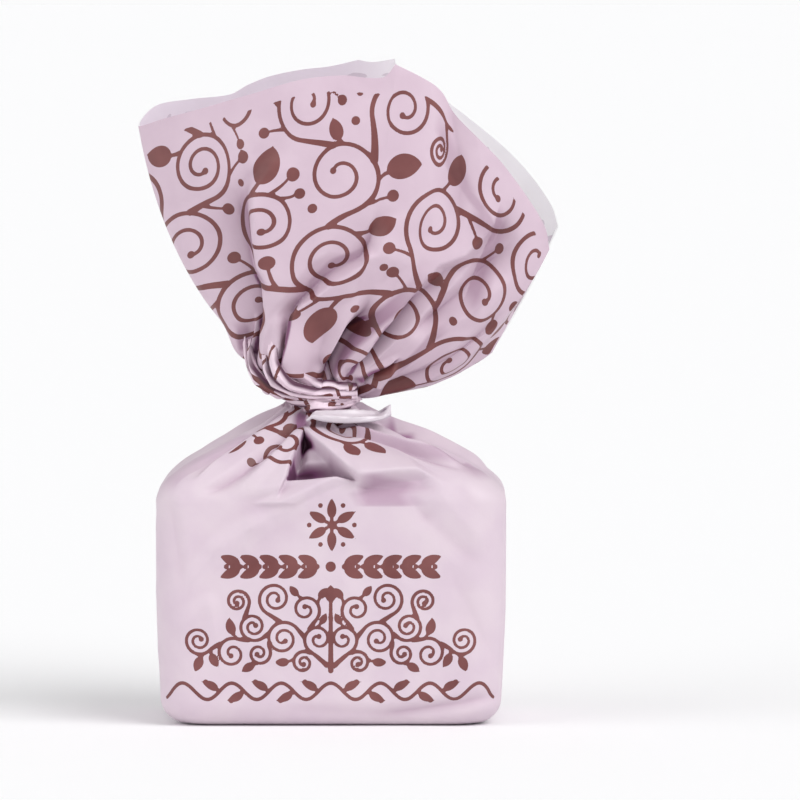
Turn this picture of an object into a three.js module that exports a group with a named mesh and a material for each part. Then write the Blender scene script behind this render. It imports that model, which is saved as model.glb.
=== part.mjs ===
// A chocolate truffle wrapped in paper: a block-shaped body, folded shoulders, a twisted neck
// and the ends of the paper flared out above it, with a fold of white lining paper at the neck.
// Millimetres, +Z up, front towards -Y. The origin is the middle of the flat base.
import * as THREE from 'three';

const { clamp, degToRad, euclideanModulo, lerp, smoothstep } = THREE.MathUtils;

// ---- Driving dimensions ----
const BODY_WIDTH = 32;          // along X, truffle and paper
const BODY_DEPTH = 22;          // along Y
const BODY_CORNER = 3.4;        // plan radius of the upright corners
const WALL_TOP = 20.3;          // where the walls turn into the shoulders
const BASE_FILLET = 1.8;        // rounding between base and walls
const BASE_TAPER = 0.45;        // how far the walls draw in near the base
const TAPER_HEIGHT = 12;
const NECK_X = -0.9;            // the twist stands a little left of the middle
const NECK_RADIUS = 3.1;
const NECK_LOW = 28.7;          // height where the shoulders end
const NECK_HIGH = 30.4;         // height where the flare starts
const NECK_TILT = 0.5;          // the flare starts lower on the right by twice this
const NECK_END = 1.12;          // radius at both ends of the neck, as a share of its radius
const NECK_WAIST = 0.14;        // how much less it is halfway
const NECK_CALM = 0.35;         // how far the gathers flatten at the waist
const TWIST = 110;              // degrees that the paper turns through at the neck
const SWEEP = 62;               // degrees that the left folds sweep round above the neck
const SWEEP_SHARE = 0.16;       // share of the flare that sweeps
const SWEEP_DEG = 200;          // side where the sweep is strongest
const THROAT_SHARE = 0.08;      // how far down the open flare reaches
const THROAT_DROP = 1.0;
// The shoulders run from the walls in to the neck on a cubic curve, and each line of the flare
// from the neck to the rim on a quadratic one. These are their control points, as shares.
const SHOULDER_IN = [0, 0, 0.3, 1];
const SIDE_IN = [0, 0, 0.56, 1];    // on the left and the right, where the shoulders are straighter
const SIDE_REACH = 0.8;         // cosine of the direction from which on they are so
const SHOULDER_UP = [0, 0.42, 0.66, 1];
const FLARE_BEND = new THREE.Vector3(0.8, 1.5, 0.33);
const LOW_BEND = new THREE.Vector3(0.56, 1.5, -0.1);    // on the right, where the flare hangs low
const LOW_REACH = 28;           // degrees to each side of it
const PAPER = 0.6;              // modelled thickness of the flare's paper
const GATHERS = 26;             // ridges and valleys pulled together by the twist
const GATHER_HEIGHT = [0.42, 1.2];
const GATHER_SHORTEST = 0.5;    // length of the shortest gather, as a share of the longest
const GATHER_FADE = 1.3;
const GATHER_SHIFT = 0.25;      // largest step aside from even spacing, as a share of the spacing
const GATHER_LEAN = [0.6, 1.4];
const FLARE_REACH = 0.42;       // share of the flare that the longest gather runs through
const SHOULDER_REACH = 0.85;    // the same on the shoulders
const LINER_GAP = 0.35;         // between the lining fold and the shoulder
const LINER_THICKNESS = 0.4;
const LINER_FROM = 258;         // degrees round the neck
const LINER_TO = 346;
const LINER_LOW = [0.8, 0.885]; // its lower edge at its left and right end, as a share of the shoulder
const LINER_HIGH = [0.91, 0.97];
const LINER_WAVES = 5;          // low waves along it
const LINER_WAVE_HEIGHT = 0.2;
const LINER_RAISED = 0.54;      // how far the right corner stands off
const LINER_RAISED_FROM = 0.55; // share of its length where it starts to

// ---- Mesh resolution ----
const COLUMNS = 92;
const FILLET_STEPS = [0.15, 0.45, 1];
const WALL_ROWS = 7;
const SHOULDER_ROWS = 14;
const NECK_ROWS = 6;
const FLARE_ROWS = 18;
const FLARE_BIAS = 1.15;        // above 1, the rows lie closer together near the neck
const LINER_STATIONS = 19;
const LINER_LINES = 5;

const COLOURS = { wrapper: 0xe2d2e4, liner: 0xe9e7ec };

// The edge of the flared paper: [degrees round the neck, x, y, z, is a corner of the sheet].
const RIM = [
  [0, 14.8, -0.3, 33.7, true],
  [20, 19.2, 3.0, 40.0, false],
  [33, 21.0, 4.2, 45.0, false],
  [42, 20.4, 4.9, 47.1, false],
  [54, 18.4, 6.2, 50.0, false],
  [63, 16.0, 6.9, 52.5, false],
  [72, 13.6, 7.4, 54.5, false],
  [81, 11.0, 7.9, 56.5, false],
  [90, 8.4, 8.3, 58.2, false],
  [96, 6.2, 8.4, 59.6, false],
  [98, 5.8, 8.5, 60.7, true],
  [106, 3.7, 8.4, 60.4, false],
  [111, 2.4, 8.3, 60.6, true],
  [120, -0.3, 8.0, 60.0, false],
  [130, -2.9, 7.4, 59.7, false],
  [140, -5.8, 6.6, 59.1, false],
  [147, -7.9, 5.8, 58.3, false],
  [153, -9.6, 5.1, 57.4, false],
  [162, -13.1, 3.7, 57.0, false],
  [171, -16.3, 1.9, 56.4, false],
  [180, -17.8, 0.0, 54.6, false],
  [190, -15.3, -2.6, 55.3, false],
  [200, -12.0, -4.5, 56.2, false],
  [210, -9.3, -5.7, 57.0, false],
  [219, -7.2, -6.5, 57.6, false],
  [238, -2.7, -7.5, 58.9, false],
  [250, 1.0, -7.8, 59.3, false],
  [259, 4.7, -7.9, 59.1, false],
  [264, 5.9, -7.9, 60.3, true],
  [271, 8.3, -7.5, 59.1, false],
  [279, 10.2, -7.1, 57.8, false],
  [286, 11.6, -6.8, 55.6, false],
  [292, 13.1, -6.5, 53.9, false],
  [303, 15.6, -5.8, 51.3, false],
  [318, 18.1, -5.0, 47.9, false],
  [330, 19.6, -4.0, 45.3, false],
  [338, 20.0, -3.2, 43.3, true],
];

// A crease is a ridge (height > 0) or a valley with a sharp bottom. Its path gives the degrees
// round the neck for shares of the way up, and before and after are its half widths in degrees.
const FLARE_CREASES = [
  { height: -1.9, before: 22, after: 8, rise: [0.05, 0.2], fall: [0.62, 0.84],
    path: [[0, 191], [0.135, 196], [0.225, 204], [0.4, 208], [0.68, 208], [0.81, 219], [0.87, 229]] },
  { height: 0.8, before: 8, after: 24, rise: [0.1, 0.3], fall: [0.66, 0.86],
    path: [[0, 200], [0.225, 209], [0.44, 218], [0.6, 216], [0.75, 219], [0.87, 237]] },
  { height: -1.0, before: 9, after: 16, rise: [0.28, 0.42], fall: [0.5, 0.66],
    path: [[0.28, 235], [0.383, 246], [0.48, 259], [0.61, 269], [0.69, 276]] },
  { height: -2.6, before: 8, after: 8, rise: [0, 0.1], fall: [0.24, 0.42],
    path: [[0.03, 262], [0.15, 264], [0.275, 269], [0.4, 269]] },
  { height: -2.1, before: 5, after: 12, rise: [0.08, 0.2], fall: [0.34, 0.56],
    path: [[0.04, 286], [0.21, 284], [0.385, 288], [0.58, 296]] },
  { height: 0.8, before: 9, after: 6, rise: [0.12, 0.22], fall: [0.45, 0.66],
    path: [[0.04, 281], [0.21, 279], [0.385, 283], [0.58, 291]] },
  { height: -1.3, before: 8, after: 12, rise: [0.3, 0.42], fall: [0.72, 0.95],
    path: [[0.3, 302], [0.43, 305], [0.54, 309], [0.67, 312], [0.8, 318]] },
  { height: 0.7, before: 14, after: 6, rise: [0.4, 0.5], fall: [0.78, 0.92],
    path: [[0.385, 290], [0.58, 295], [0.78, 306], [0.86, 307]] },
  { height: -0.8, before: 9, after: 9, rise: [0.05, 0.2], fall: [0.5, 0.8],
    path: [[0, 335], [0.4, 338], [0.8, 334]] },
  { height: -1.5, before: 9, after: 14, rise: [0.05, 0.2], fall: [0.45, 0.8],
    path: [[0, 40], [0.4, 46], [0.8, 52]] },
  { height: -1.3, before: 16, after: 8, rise: [0.05, 0.2], fall: [0.5, 0.9],
    path: [[0, 82], [0.5, 86], [0.9, 80]] },
  { height: 0.8, before: 8, after: 14, rise: [0.1, 0.25], fall: [0.4, 0.7],
    path: [[0, 98], [0.7, 94]] },
  { height: -1.5, before: 8, after: 12, rise: [0.05, 0.2], fall: [0.34, 0.66],
    path: [[0, 124], [0.35, 118], [0.66, 112]] },
  { height: -1.1, before: 9, after: 9, rise: [0.05, 0.2], fall: [0.35, 0.6],
    path: [[0, 152], [0.6, 148]] },
];
const SHOULDER_CREASES = [
  { height: -2.4, before: 8, after: 16, rise: [0.16, 0.3], fall: [0.6, 0.86],
    path: [[0, 266], [0.3, 264], [0.62, 260], [0.9, 254]] },
  { height: 0.8, before: 18, after: 7, rise: [0.02, 0.2], fall: [0.7, 0.88],
    path: [[0, 252], [0.3, 253], [0.62, 254], [0.9, 248]] },
  { height: 1.0, before: 8, after: 30, rise: [0.1, 0.24], fall: [0.62, 0.88],
    path: [[0.1, 287], [0.36, 279], [0.51, 273], [0.68, 265], [0.9, 258]] },
  { height: -0.6, before: 14, after: 12, rise: [0.1, 0.25], fall: [0.56, 0.8],
    path: [[0.1, 322], [0.44, 314], [0.8, 300]] },
  { height: 0.5, before: 14, after: 12, rise: [0.35, 0.5], fall: [0.7, 0.9],
    path: [[0.44, 330], [0.8, 316]] },
  { height: -0.7, before: 7, after: 9, rise: [0.1, 0.3], fall: [0.7, 0.9],
    path: [[0.1, 224], [0.5, 227], [0.9, 232]] },
  { height: -1.4, before: 12, after: 8, rise: [0.08, 0.26], fall: [0.7, 0.9],
    path: [[0, 70], [0.9, 78]] },
  { height: 0.8, before: 8, after: 24, rise: [0.08, 0.26], fall: [0.7, 0.9],
    path: [[0, 84], [0.9, 90]] },
  { height: -1.0, before: 8, after: 8, rise: [0.1, 0.3], fall: [0.7, 0.9],
    path: [[0, 132], [0.9, 124]] },
];

// Shallow hollows in the walls where the paper spans the truffle: middle as degrees round the
// body and height, half sizes along both, and depth.
const WALL_DENTS = [
  { deg: 252, z: 17.5, reach: 26, rise: 5, depth: 0.45 },
  { deg: 300, z: 14, reach: 14, rise: 8, depth: 0.4 },
  { deg: 0, z: 10, reach: 24, rise: 7, depth: 0.5 },
  { deg: 180, z: 11, reach: 24, rise: 7, depth: 0.5 },
  { deg: 70, z: 15, reach: 20, rise: 7, depth: 0.5 },
  { deg: 112, z: 8, reach: 18, rise: 6, depth: 0.4 },
];

const DENTS_START = [1, 4];     // heights between which the hollows fade in and out
const DENTS_END = [17, WALL_TOP];

// ---- Small functions ----
const signedTurn = (deg) => euclideanModulo(deg + 180, 360) - 180;

// Evenly spread, irregular values in 0..1: the i-th value of one of several sequences.
const SEQUENCES = [0.618034, 0.754878, 0.56984, 0.819173];
const uneven = (i, sequence) => euclideanModulo((i + 1) * SEQUENCES[sequence], 1);

function alongPath(path, share) {
  if (share <= path[0][0]) return path[0][1];
  for (let i = 1; i < path.length; i += 1) {
    const [from, start] = path[i - 1];
    const [to, end] = path[i];
    if (share <= to) return lerp(start, end, (share - from) / (to - from));
  }
  return path[path.length - 1][1];
}

const tent = (offset, before, after) =>
  Math.max(0, offset < 0 ? 1 + offset / before : 1 - offset / after);

const cubic = ([a, b, c, d], t) =>
  (1 - t) ** 3 * a + 3 * (1 - t) ** 2 * t * b + 3 * (1 - t) * t ** 2 * c + t ** 3 * d;

function creaseHeight(creases, deg, share) {
  let height = 0;
  for (const crease of creases) {
    const strength = smoothstep(share, ...crease.rise) * (1 - smoothstep(share, ...crease.fall));
    const offset = signedTurn(deg - alongPath(crease.path, share));
    height += crease.height * strength * tent(offset, crease.before, crease.after);
  }
  return height;
}

// The gathers run up and down from the neck; reach is 0 at the neck and 1 where the longest ends.
function gatherHeight(deg, reach) {
  const width = 360 / GATHERS;
  let height = 0;
  for (let i = 0; i < GATHERS; i += 1) {
    const middle = width * (i + lerp(-GATHER_SHIFT, GATHER_SHIFT, uneven(i, 0)));
    const size = lerp(...GATHER_HEIGHT, uneven(i, 1)) * (i % 2 ? 1 : -1);
    const strength = Math.max(0, 1 - reach / lerp(GATHER_SHORTEST, 1, uneven(i, 2))) ** GATHER_FADE;
    const lean = lerp(...GATHER_LEAN, uneven(i, 3));
    height += size * strength * tent(signedTurn(deg - middle), width * lean, width * (2 - lean));
  }
  return height;
}

// ---- The wrapper's smooth form, section by section: deg is 0 on the right, 270 in front ----
function outline(deg) {
  const quarter = euclideanModulo(deg, 360) / 90;
  const index = Math.floor(quarter);
  const share = index % 2 ? 1 + index - quarter : quarter - index;
  const sideX = BODY_WIDTH / 2 - BODY_CORNER;
  const sideY = BODY_DEPTH / 2 - BODY_CORNER;
  const arc = (Math.PI / 2) * BODY_CORNER;
  const run = share * (sideX + arc + sideY);
  const turn = clamp((run - sideY) / BODY_CORNER, 0, Math.PI / 2);
  const x = sideX + BODY_CORNER * Math.cos(turn) - Math.max(run - sideY - arc, 0);
  const y = Math.min(run, sideY) + BODY_CORNER * Math.sin(turn);
  return [index % 3 === 0 ? x : -x, index < 2 ? y : -y];
}

function wallPoint(deg, share) {
  const z = share * WALL_TOP;
  const below = clamp(1 - z / BASE_FILLET, 0, 1);
  const inset = BASE_FILLET * (1 - Math.sqrt(1 - below * below))
    + BASE_TAPER * (1 - smoothstep(z, 0, TAPER_HEIGHT));
  const [x, y] = outline(deg);
  return new THREE.Vector3(x * (1 - (2 * inset) / BODY_WIDTH), y * (1 - (2 * inset) / BODY_DEPTH), z);
}

function wallRelief(deg, share) {
  const z = share * WALL_TOP;
  const clear = smoothstep(z, ...DENTS_START) * (1 - smoothstep(z, ...DENTS_END));
  let height = 0;
  for (const dent of WALL_DENTS) {
    const across = signedTurn(deg - dent.deg) / dent.reach;
    const up = (z - dent.z) / dent.rise;
    height -= dent.depth * Math.exp(-2 * (across * across + up * up));
  }
  return height * clear;
}

function neckCircle(deg, radius, z) {
  const turn = degToRad(deg);
  return new THREE.Vector3(NECK_X + radius * Math.cos(turn), radius * Math.sin(turn), z);
}

function shoulderPoint(deg, share) {
  const [x, y] = outline(deg);
  const neck = neckCircle(deg, NECK_RADIUS * NECK_END, NECK_LOW);
  const side = smoothstep(Math.abs(Math.cos(degToRad(deg))), 0, SIDE_REACH);
  return new THREE.Vector3(x, y, WALL_TOP)
    .lerp(neck, lerp(cubic(SHOULDER_IN, share), cubic(SIDE_IN, share), side))
    .setZ(lerp(WALL_TOP, NECK_LOW, cubic(SHOULDER_UP, share)));
}

function shoulderRelief(deg, share) {
  return creaseHeight(SHOULDER_CREASES, deg, share) + gatherHeight(deg, (1 - share) / SHOULDER_REACH);
}

// Where a column of the body is in the flare, with the twist and the sweep above the neck.
function flareDeg(deg, share) {
  const untwisted = deg - TWIST;
  const side = 0.5 + 0.5 * Math.cos(degToRad(untwisted - SWEEP_DEG));
  return untwisted + SWEEP * side * clamp(1 - share / SWEEP_SHARE, 0, 1) ** 2;
}

const flareStartHeight = (deg) => NECK_HIGH - NECK_TILT * Math.cos(degToRad(deg));

function neckPoint(deg, share) {
  const turned = lerp(deg, flareDeg(deg, 0), share);
  const radius = NECK_RADIUS * (NECK_END - NECK_WAIST * Math.sin(Math.PI * share));
  return neckCircle(turned, radius, lerp(NECK_LOW, flareStartHeight(turned), share));
}

const neckRelief = (deg, share) => gatherHeight(deg, 0) * (1 - NECK_CALM * Math.sin(Math.PI * share));

// A smooth closed curve through the rim stations, with a kink at each corner of the sheet.
function rimPoint(deg) {
  const at = euclideanModulo(deg, 360);
  const count = RIM.length;
  let i = count - 1;
  while (RIM[i][0] > at) i -= 1;
  const station = (k) => {
    const [stationDeg, x, y, z, corner] = RIM[euclideanModulo(k, count)];
    return { deg: stationDeg + 360 * Math.floor(k / count), point: new THREE.Vector3(x, y, z), corner };
  };
  const [before, from, to, after] = [i - 1, i, i + 1, i + 2].map(station);
  const slope = (a, b) => b.point.clone().sub(a.point).divideScalar(b.deg - a.deg);
  const span = to.deg - from.deg;
  const leave = (from.corner ? slope(from, to) : slope(before, to)).multiplyScalar(span);
  const arrive = (to.corner ? slope(from, to) : slope(from, after)).multiplyScalar(span);
  const t = (at - from.deg) / span;
  return from.point.clone().multiplyScalar(2 * t ** 3 - 3 * t ** 2 + 1)
    .addScaledVector(leave, t ** 3 - 2 * t ** 2 + t)
    .addScaledVector(to.point, 3 * t ** 2 - 2 * t ** 3)
    .addScaledVector(arrive, t ** 3 - t ** 2);
}

// Each line of the paper leaves the neck outwards and bends up to the rim, like a tulip.
function flarePoint(deg, share) {
  const around = flareDeg(deg, share);
  const start = neckCircle(around, NECK_RADIUS * NECK_END, flareStartHeight(around));
  const end = rimPoint(around);
  const low = Math.exp(-((signedTurn(around) / LOW_REACH) ** 2));
  const bend = end.clone().sub(start).multiply(FLARE_BEND.clone().lerp(LOW_BEND, low)).add(start);
  return new THREE.QuadraticBezierCurve3(start, bend, end).getPoint(share);
}

function flareRelief(deg, share) {
  return creaseHeight(FLARE_CREASES, flareDeg(deg, share), share)
    + gatherHeight(deg, share / FLARE_REACH);
}

const SECTIONS = {
  wall: { point: wallPoint, relief: wallRelief },
  shoulder: { point: shoulderPoint, relief: shoulderRelief },
  neck: { point: neckPoint, relief: neckRelief },
  flare: { point: flarePoint, relief: flareRelief },
};

// A point of the folded paper: the smooth form moved along its outward normal.
function paperPoint(section, deg, share, lift = 0) {
  const { point, relief } = SECTIONS[section];
  const step = 0.01;
  const across = point(deg + 1, share).sub(point(deg - 1, share));
  const up = point(deg, Math.min(share + step, 1)).sub(point(deg, Math.max(share - step, 0)));
  const outward = across.cross(up).normalize();
  return point(deg, share).addScaledVector(outward, relief(deg, share) + lift);
}

// ---- Closed skins made of rings, with a fan at each end ----
function skin(rings, firstPole, lastPole) {
  const size = rings[0].length;
  const points = [...rings.flat(), firstPole, lastPole];
  const firstIndex = rings.length * size;
  const faces = [];
  for (let j = 0; j < size; j += 1) {
    const next = (j + 1) % size;
    faces.push(firstIndex, next, j);
    for (let i = 0; i + 1 < rings.length; i += 1) {
      const low = i * size;
      const high = low + size;
      faces.push(low + j, low + next, high + next, low + j, high + next, high + j);
    }
    const last = firstIndex - size;
    faces.push(last + j, last + next, firstIndex + 1);
  }
  const geometry = new THREE.BufferGeometry().setFromPoints(points);
  geometry.setIndex(faces);
  geometry.computeVertexNormals();
  return geometry;
}

const middleOf = (ring) =>
  ring.reduce((sum, point) => sum.add(point), new THREE.Vector3()).divideScalar(ring.length);

const shares = (count, from, to, bias = 1) =>
  Array.from({ length: count }, (_, i) => lerp(from, to, (i / (count - 1)) ** bias));

function paperRing(section, share, lift = 0) {
  return Array.from({ length: COLUMNS }, (_, j) => paperPoint(section, (360 * j) / COLUMNS, share, lift));
}

function baseRing() {
  const ring = Array.from({ length: COLUMNS }, (_, j) => wallPoint((360 * j) / COLUMNS, 0));
  return ring.map((point) => point.setZ(0));
}

function wrapperGeometry() {
  const filletShares = FILLET_STEPS.map((part) => (part * BASE_FILLET) / WALL_TOP);
  const wallShares = shares(WALL_ROWS, BASE_FILLET / WALL_TOP, 1).slice(1);
  const shoulderShares = shares(SHOULDER_ROWS, 0, 1).slice(1);
  const neckShares = shares(NECK_ROWS, 0, 1).slice(1);
  const flareShares = shares(FLARE_ROWS, 0, 1, FLARE_BIAS).slice(1);
  const innerShares = flareShares.filter((share) => share > THROAT_SHARE).reverse();
  const rings = [
    baseRing(),
    ...[...filletShares, ...wallShares].map((share) => paperRing('wall', share)),
    ...shoulderShares.map((share) => paperRing('shoulder', share)),
    ...neckShares.map((share) => paperRing('neck', share)),
    ...flareShares.map((share) => paperRing('flare', share)),
    ...innerShares.map((share) => paperRing('flare', share, -PAPER)),
  ];
  const throat = middleOf(rings[rings.length - 1]);
  throat.z -= THROAT_DROP;
  return skin(rings, new THREE.Vector3(0, 0, 0), throat);
}

// The lining shows as a narrow fold that lies on the right shoulder and ends in a raised corner.
function linerGeometry() {
  const stations = shares(LINER_STATIONS, 0, 1);
  const rings = stations.map((share) => {
    const deg = lerp(LINER_FROM, LINER_TO, share);
    const raised = LINER_RAISED * smoothstep(share, LINER_RAISED_FROM, 1);
    const wave = LINER_WAVE_HEIGHT * Math.sin(share * LINER_WAVES * Math.PI) ** 2;
    const side = (thickness) => shares(LINER_LINES, lerp(...LINER_LOW, share), lerp(...LINER_HIGH, share))
      .map((up, k) => {
        const lift = LINER_GAP + wave + thickness + raised * (1 - k / (LINER_LINES - 1));
        return paperPoint('shoulder', deg, up, lift);
      });
    return [...side(0), ...side(LINER_THICKNESS).reverse()];
  });
  return skin(rings, middleOf(rings[0]), middleOf(rings[rings.length - 1]));
}

// ---- The part ----
function piece(name, geometry, roughness) {
  const material = new THREE.MeshStandardMaterial({ color: COLOURS[name], roughness, metalness: 0 });
  const mesh = new THREE.Mesh(geometry, material);
  mesh.name = name;
  return mesh;
}

const truffle = new THREE.Group();
truffle.add(piece('wrapper', wrapperGeometry(), 0.55));
truffle.add(piece('liner', linerGeometry(), 0.35));

export default truffle;
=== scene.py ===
import math
import random
from collections import namedtuple

import bpy
import numpy as np
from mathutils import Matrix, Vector


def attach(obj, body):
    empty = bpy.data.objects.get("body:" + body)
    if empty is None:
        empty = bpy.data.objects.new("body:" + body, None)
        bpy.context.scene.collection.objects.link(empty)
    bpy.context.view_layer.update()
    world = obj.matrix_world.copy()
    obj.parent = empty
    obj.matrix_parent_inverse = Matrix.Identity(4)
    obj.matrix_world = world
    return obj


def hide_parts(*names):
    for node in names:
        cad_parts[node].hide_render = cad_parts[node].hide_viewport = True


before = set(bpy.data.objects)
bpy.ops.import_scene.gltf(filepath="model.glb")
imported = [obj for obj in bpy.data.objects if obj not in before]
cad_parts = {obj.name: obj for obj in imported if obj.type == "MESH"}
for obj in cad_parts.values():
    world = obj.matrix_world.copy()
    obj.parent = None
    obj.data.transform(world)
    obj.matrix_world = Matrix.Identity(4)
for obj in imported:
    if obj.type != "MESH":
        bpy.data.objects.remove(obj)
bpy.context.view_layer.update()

MM = 0.001

# ---- Sizes of the wrapped truffle, in millimetres and degrees ----
BODY_WIDTH, BODY_DEPTH, BODY_CORNER = 32.0, 22.0, 3.4
WALL_TOP = 20.3
BASE_FILLET = 2.5               # the CAD model has 1.8
BASE_TAPER, TAPER_HEIGHT = 0.45, 12.0
NECK_X, NECK_RADIUS = -0.9, 3.1
NECK_LOW, NECK_HIGH, NECK_TILT = 28.7, 30.4, 0.5
TWIST = 110.0
SWEEP, SWEEP_SHARE, SWEEP_DEG = 62.0, 0.16, 200.0
FLARE_REACH, SHOULDER_REACH = 0.42, 0.85
PAPER = 0.14                    # thickness of the flare's paper
FRONT_BEND, SIDE_BEND, SIDE_REACH = 0.3, 0.66, 0.8      # the shoulders are straighter at the sides
SHOULDER_RISE = (1.26, 1.98)    # how they curve up to the neck
SHOULDER_RING, FLARE_RING = 1.15, 1.1   # the neck's radius at both ends, as a part of NECK_RADIUS
FLARE_BEND = np.array((0.8, 1.5, 0.33))         # each line's bend, as parts of its way to the rim: x, y, z
RIGHT_EASE, RIGHT_DEG = np.array((0.24, 0, 0.43)), 28   # and how much less near the right corner
SLING_HEIGHT = 1.5              # how far the paper bulges out on the left, above the twist

# The lining where it shows, in the front view from left to right: x and z of its lower and upper edge.
LINER_LOW = [(-2.2, 27.7), (-1.0, 27.15), (1.0, 26.9), (3.0, 26.95), (4.4, 27.15), (5.2, 27.45)]
LINER_HIGH = [(-2.1, 28.1), (-0.6, 28.3), (1.2, 28.3), (3.0, 28.05), (4.1, 27.95), (5.0, 28.05)]
LINER_LIFT, LINER_THICKNESS, LINER_TIP = 0.7, 0.12, 0.4
# Folds along the lining: place across it (0 to 1), drift along its length, half width, height.
LINER_FOLDS = [(0.12, 0.2, 0.1, 0.3), (0.45, -0.2, 0.1, -0.28), (0.62, 0.16, 0.12, 0.34),
               (0.95, -0.24, 0.1, -0.2), (0.75, -0.1, 0.07, 0.2)]

# Strands that the twist pulls round the front of the neck, as x and z in the front view, from the lowest
# to the uppermost: width, lift off the paper behind, and the line that each follows.
STRANDS = [
    (1.0, 0.2, [(-3.6, 29.3), (-2.4, 28.9), (-0.9, 28.7), (0.5, 28.9), (1.9, 29.2)]),
    (1.05, 0.3, [(-8.8, 36.6), (-8.6, 35.2), (-8.2, 33.9), (-7.6, 32.7), (-6.8, 31.7), (-5.7, 30.9),
                 (-4.5, 30.2), (-3.4, 29.6), (-2.2, 29.2), (-0.9, 29.2), (0.8, 29.3), (2.1, 29.6)]),
    (0.8, 0.45, [(-7.7, 36.4), (-7.8, 35.2), (-7.7, 34.1), (-7.2, 33.0), (-6.4, 32.0), (-5.4, 31.2),
                 (-4.1, 30.5), (-2.7, 29.9), (-1.2, 29.7), (0.3, 29.7), (1.9, 29.9)]),
    (0.95, 0.45, [(-6.7, 36.0), (-6.7, 34.8), (-6.4, 33.6), (-5.9, 32.5), (-5.1, 31.6), (-4.1, 31.0),
                  (-3.1, 30.5), (-1.9, 30.2), (-0.5, 30.1), (1.0, 30.2), (2.1, 30.3)]),
    (1.4, 0.5, [(-5.9, 37.2), (-5.8, 35.8), (-5.6, 34.4), (-5.2, 33.2), (-4.7, 32.3), (-3.8, 31.5),
                (-2.8, 31.0), (-1.7, 30.6), (-0.4, 30.4), (1.0, 30.5), (2.1, 30.6)]),
    (1.3, 0.3, [(-3.6, 31.7), (-2.2, 31.3), (-0.8, 30.9), (0.6, 30.8), (2.1, 30.9)]),
]
STRAND_HEIGHT, STRAND_UNDER, STRAND_CREST = 0.5, 0.4, 0.4
STRAND_FADE, STRAND_SINK, STRAND_TUCK = 0.46, 0.8, 1.6  # how it comes out of the paper, and goes in again
STRAND_EDGE_SHADE, STRAND_TIP_SHADE = 1.1, 0.14     # painted shade: how dark its edges and its tip are painted
STRAND_SEED = 21

# ---- Mesh resolution ----
COLUMNS = 720
STRAND_RINGS = (150, 32)
LINER_LINES, LINER_STATIONS = 30, 160
STRAND_SMOOTHING, LINER_SMOOTHING = 9, 22
WALL_ROWS, SHOULDER_ROWS, NECK_ROWS, FLARE_ROWS = 108, 90, 24, 176
INNER_STEP = 2                  # the flare's inside has one row to this many of the outside
THROAT_ROW = 10                 # and starts this many rows above the neck

# ---- Camera ----
ELEVATION = 3.0
DISTANCE = 0.70
PIXELS_PER_MM = 10.84
PICTURE = 800
CENTRE_X, CENTRE_Z = 6.3, 29.3  # the point that the middle of the picture shows
SENSOR = 36

# ---- Light ----
FLOOR_SIZE = 400
WORLD_STRENGTH, HORIZON_STRENGTH = 0.57, 0.97
HORIZON = (0.01, 0.05)          # the band's height: the upward part of the direction
SUNS = [("key", 48, 40, 45, 1.7), ("fill", -62, 18, 60, 0.98)]  # azimuth, elevation, spread, strength

# The edge of the flared paper: degrees round the neck, x, y, z. It has kinks at the sheet's corners and where
# its edge is folded or torn.
RIM_KINKS = (0, 33, 98, 111, 264, 338)
RIM = np.array([
    (0, 14.8, -0.3, 33.7), (20, 18.6, 3.0, 40.0), (33, 21.0, 4.2, 45.2), (42, 20.4, 4.9, 47.1),
    (54, 18.4, 6.2, 50.0), (63, 16.0, 6.9, 52.5), (72, 13.6, 7.4, 54.5), (81, 11.0, 7.9, 56.5),
    (90, 8.4, 8.3, 58.2), (96, 6.2, 8.4, 59.6), (98, 5.8, 8.5, 60.7), (106, 3.7, 8.4, 60.4),
    (111, 2.4, 8.3, 60.6), (120, -0.3, 8.0, 60.0), (130, -2.9, 7.4, 59.7), (140, -5.8, 6.6, 59.1),
    (147, -7.9, 5.8, 58.3), (153, -9.6, 5.1, 57.4), (162, -13.1, 3.7, 57.0), (171, -16.3, 1.9, 56.4),
    (180, -17.8, 0.0, 54.6), (190, -15.3, -2.6, 55.3), (200, -12.0, -4.5, 56.2), (210, -9.3, -5.7, 57.0),
    (219, -7.2, -6.5, 57.6), (238, -2.7, -7.5, 58.9), (250, 1.0, -7.8, 59.3), (259, 4.7, -7.9, 59.1),
    (264, 5.9, -7.9, 60.3), (271, 8.3, -7.5, 59.1), (279, 10.2, -7.1, 57.8), (286, 11.6, -6.8, 55.6),
    (292, 13.1, -6.5, 53.9), (303, 15.6, -5.8, 51.3), (318, 18.1, -5.0, 47.9), (330, 19.6, -4.0, 45.3),
    (338, 20.0, -3.2, 43.3),
])


# ---- Small functions ----
def lerp(low, high, part):
    return low + (high - low) * part


def smoothstep(low, high, x):
    part = np.clip((x - low) / (high - low), 0, 1)
    return part * part * (3 - 2 * part)


def between(x, low, high):
    return (x > low) & (x < high)


def rise_and_fall(x, low, high, top, end):
    """0 up to low, 1 from high to top and 0 again from end on."""
    return smoothstep(low, high, x) * (1 - smoothstep(top, end, x))


def along_path(at, path):
    return np.interp(at, *zip(*path))


def signed_turn(deg):
    return (np.asarray(deg) + 180) % 360 - 180


def unit(vectors):
    return vectors / np.maximum(np.linalg.norm(vectors, axis=-1, keepdims=True), 1e-9)


def tent(offset, before, after):
    """1 in the middle, falling straight to 0 at the half width on each side."""
    return np.clip(np.where(offset < 0, 1 + offset / before, 1 - offset / after), 0, 1)


def gaussian_weights(width):
    weights = np.exp(-0.5 * (np.arange(-3 * width, 3 * width + 1) / width) ** 2)
    return weights / weights.sum()


def direction(angle):
    return np.array((math.cos(angle), math.sin(angle)))


def stack(x, y, z):
    return np.stack(np.broadcast_arrays(x, y, z), -1).astype(float)


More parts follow.
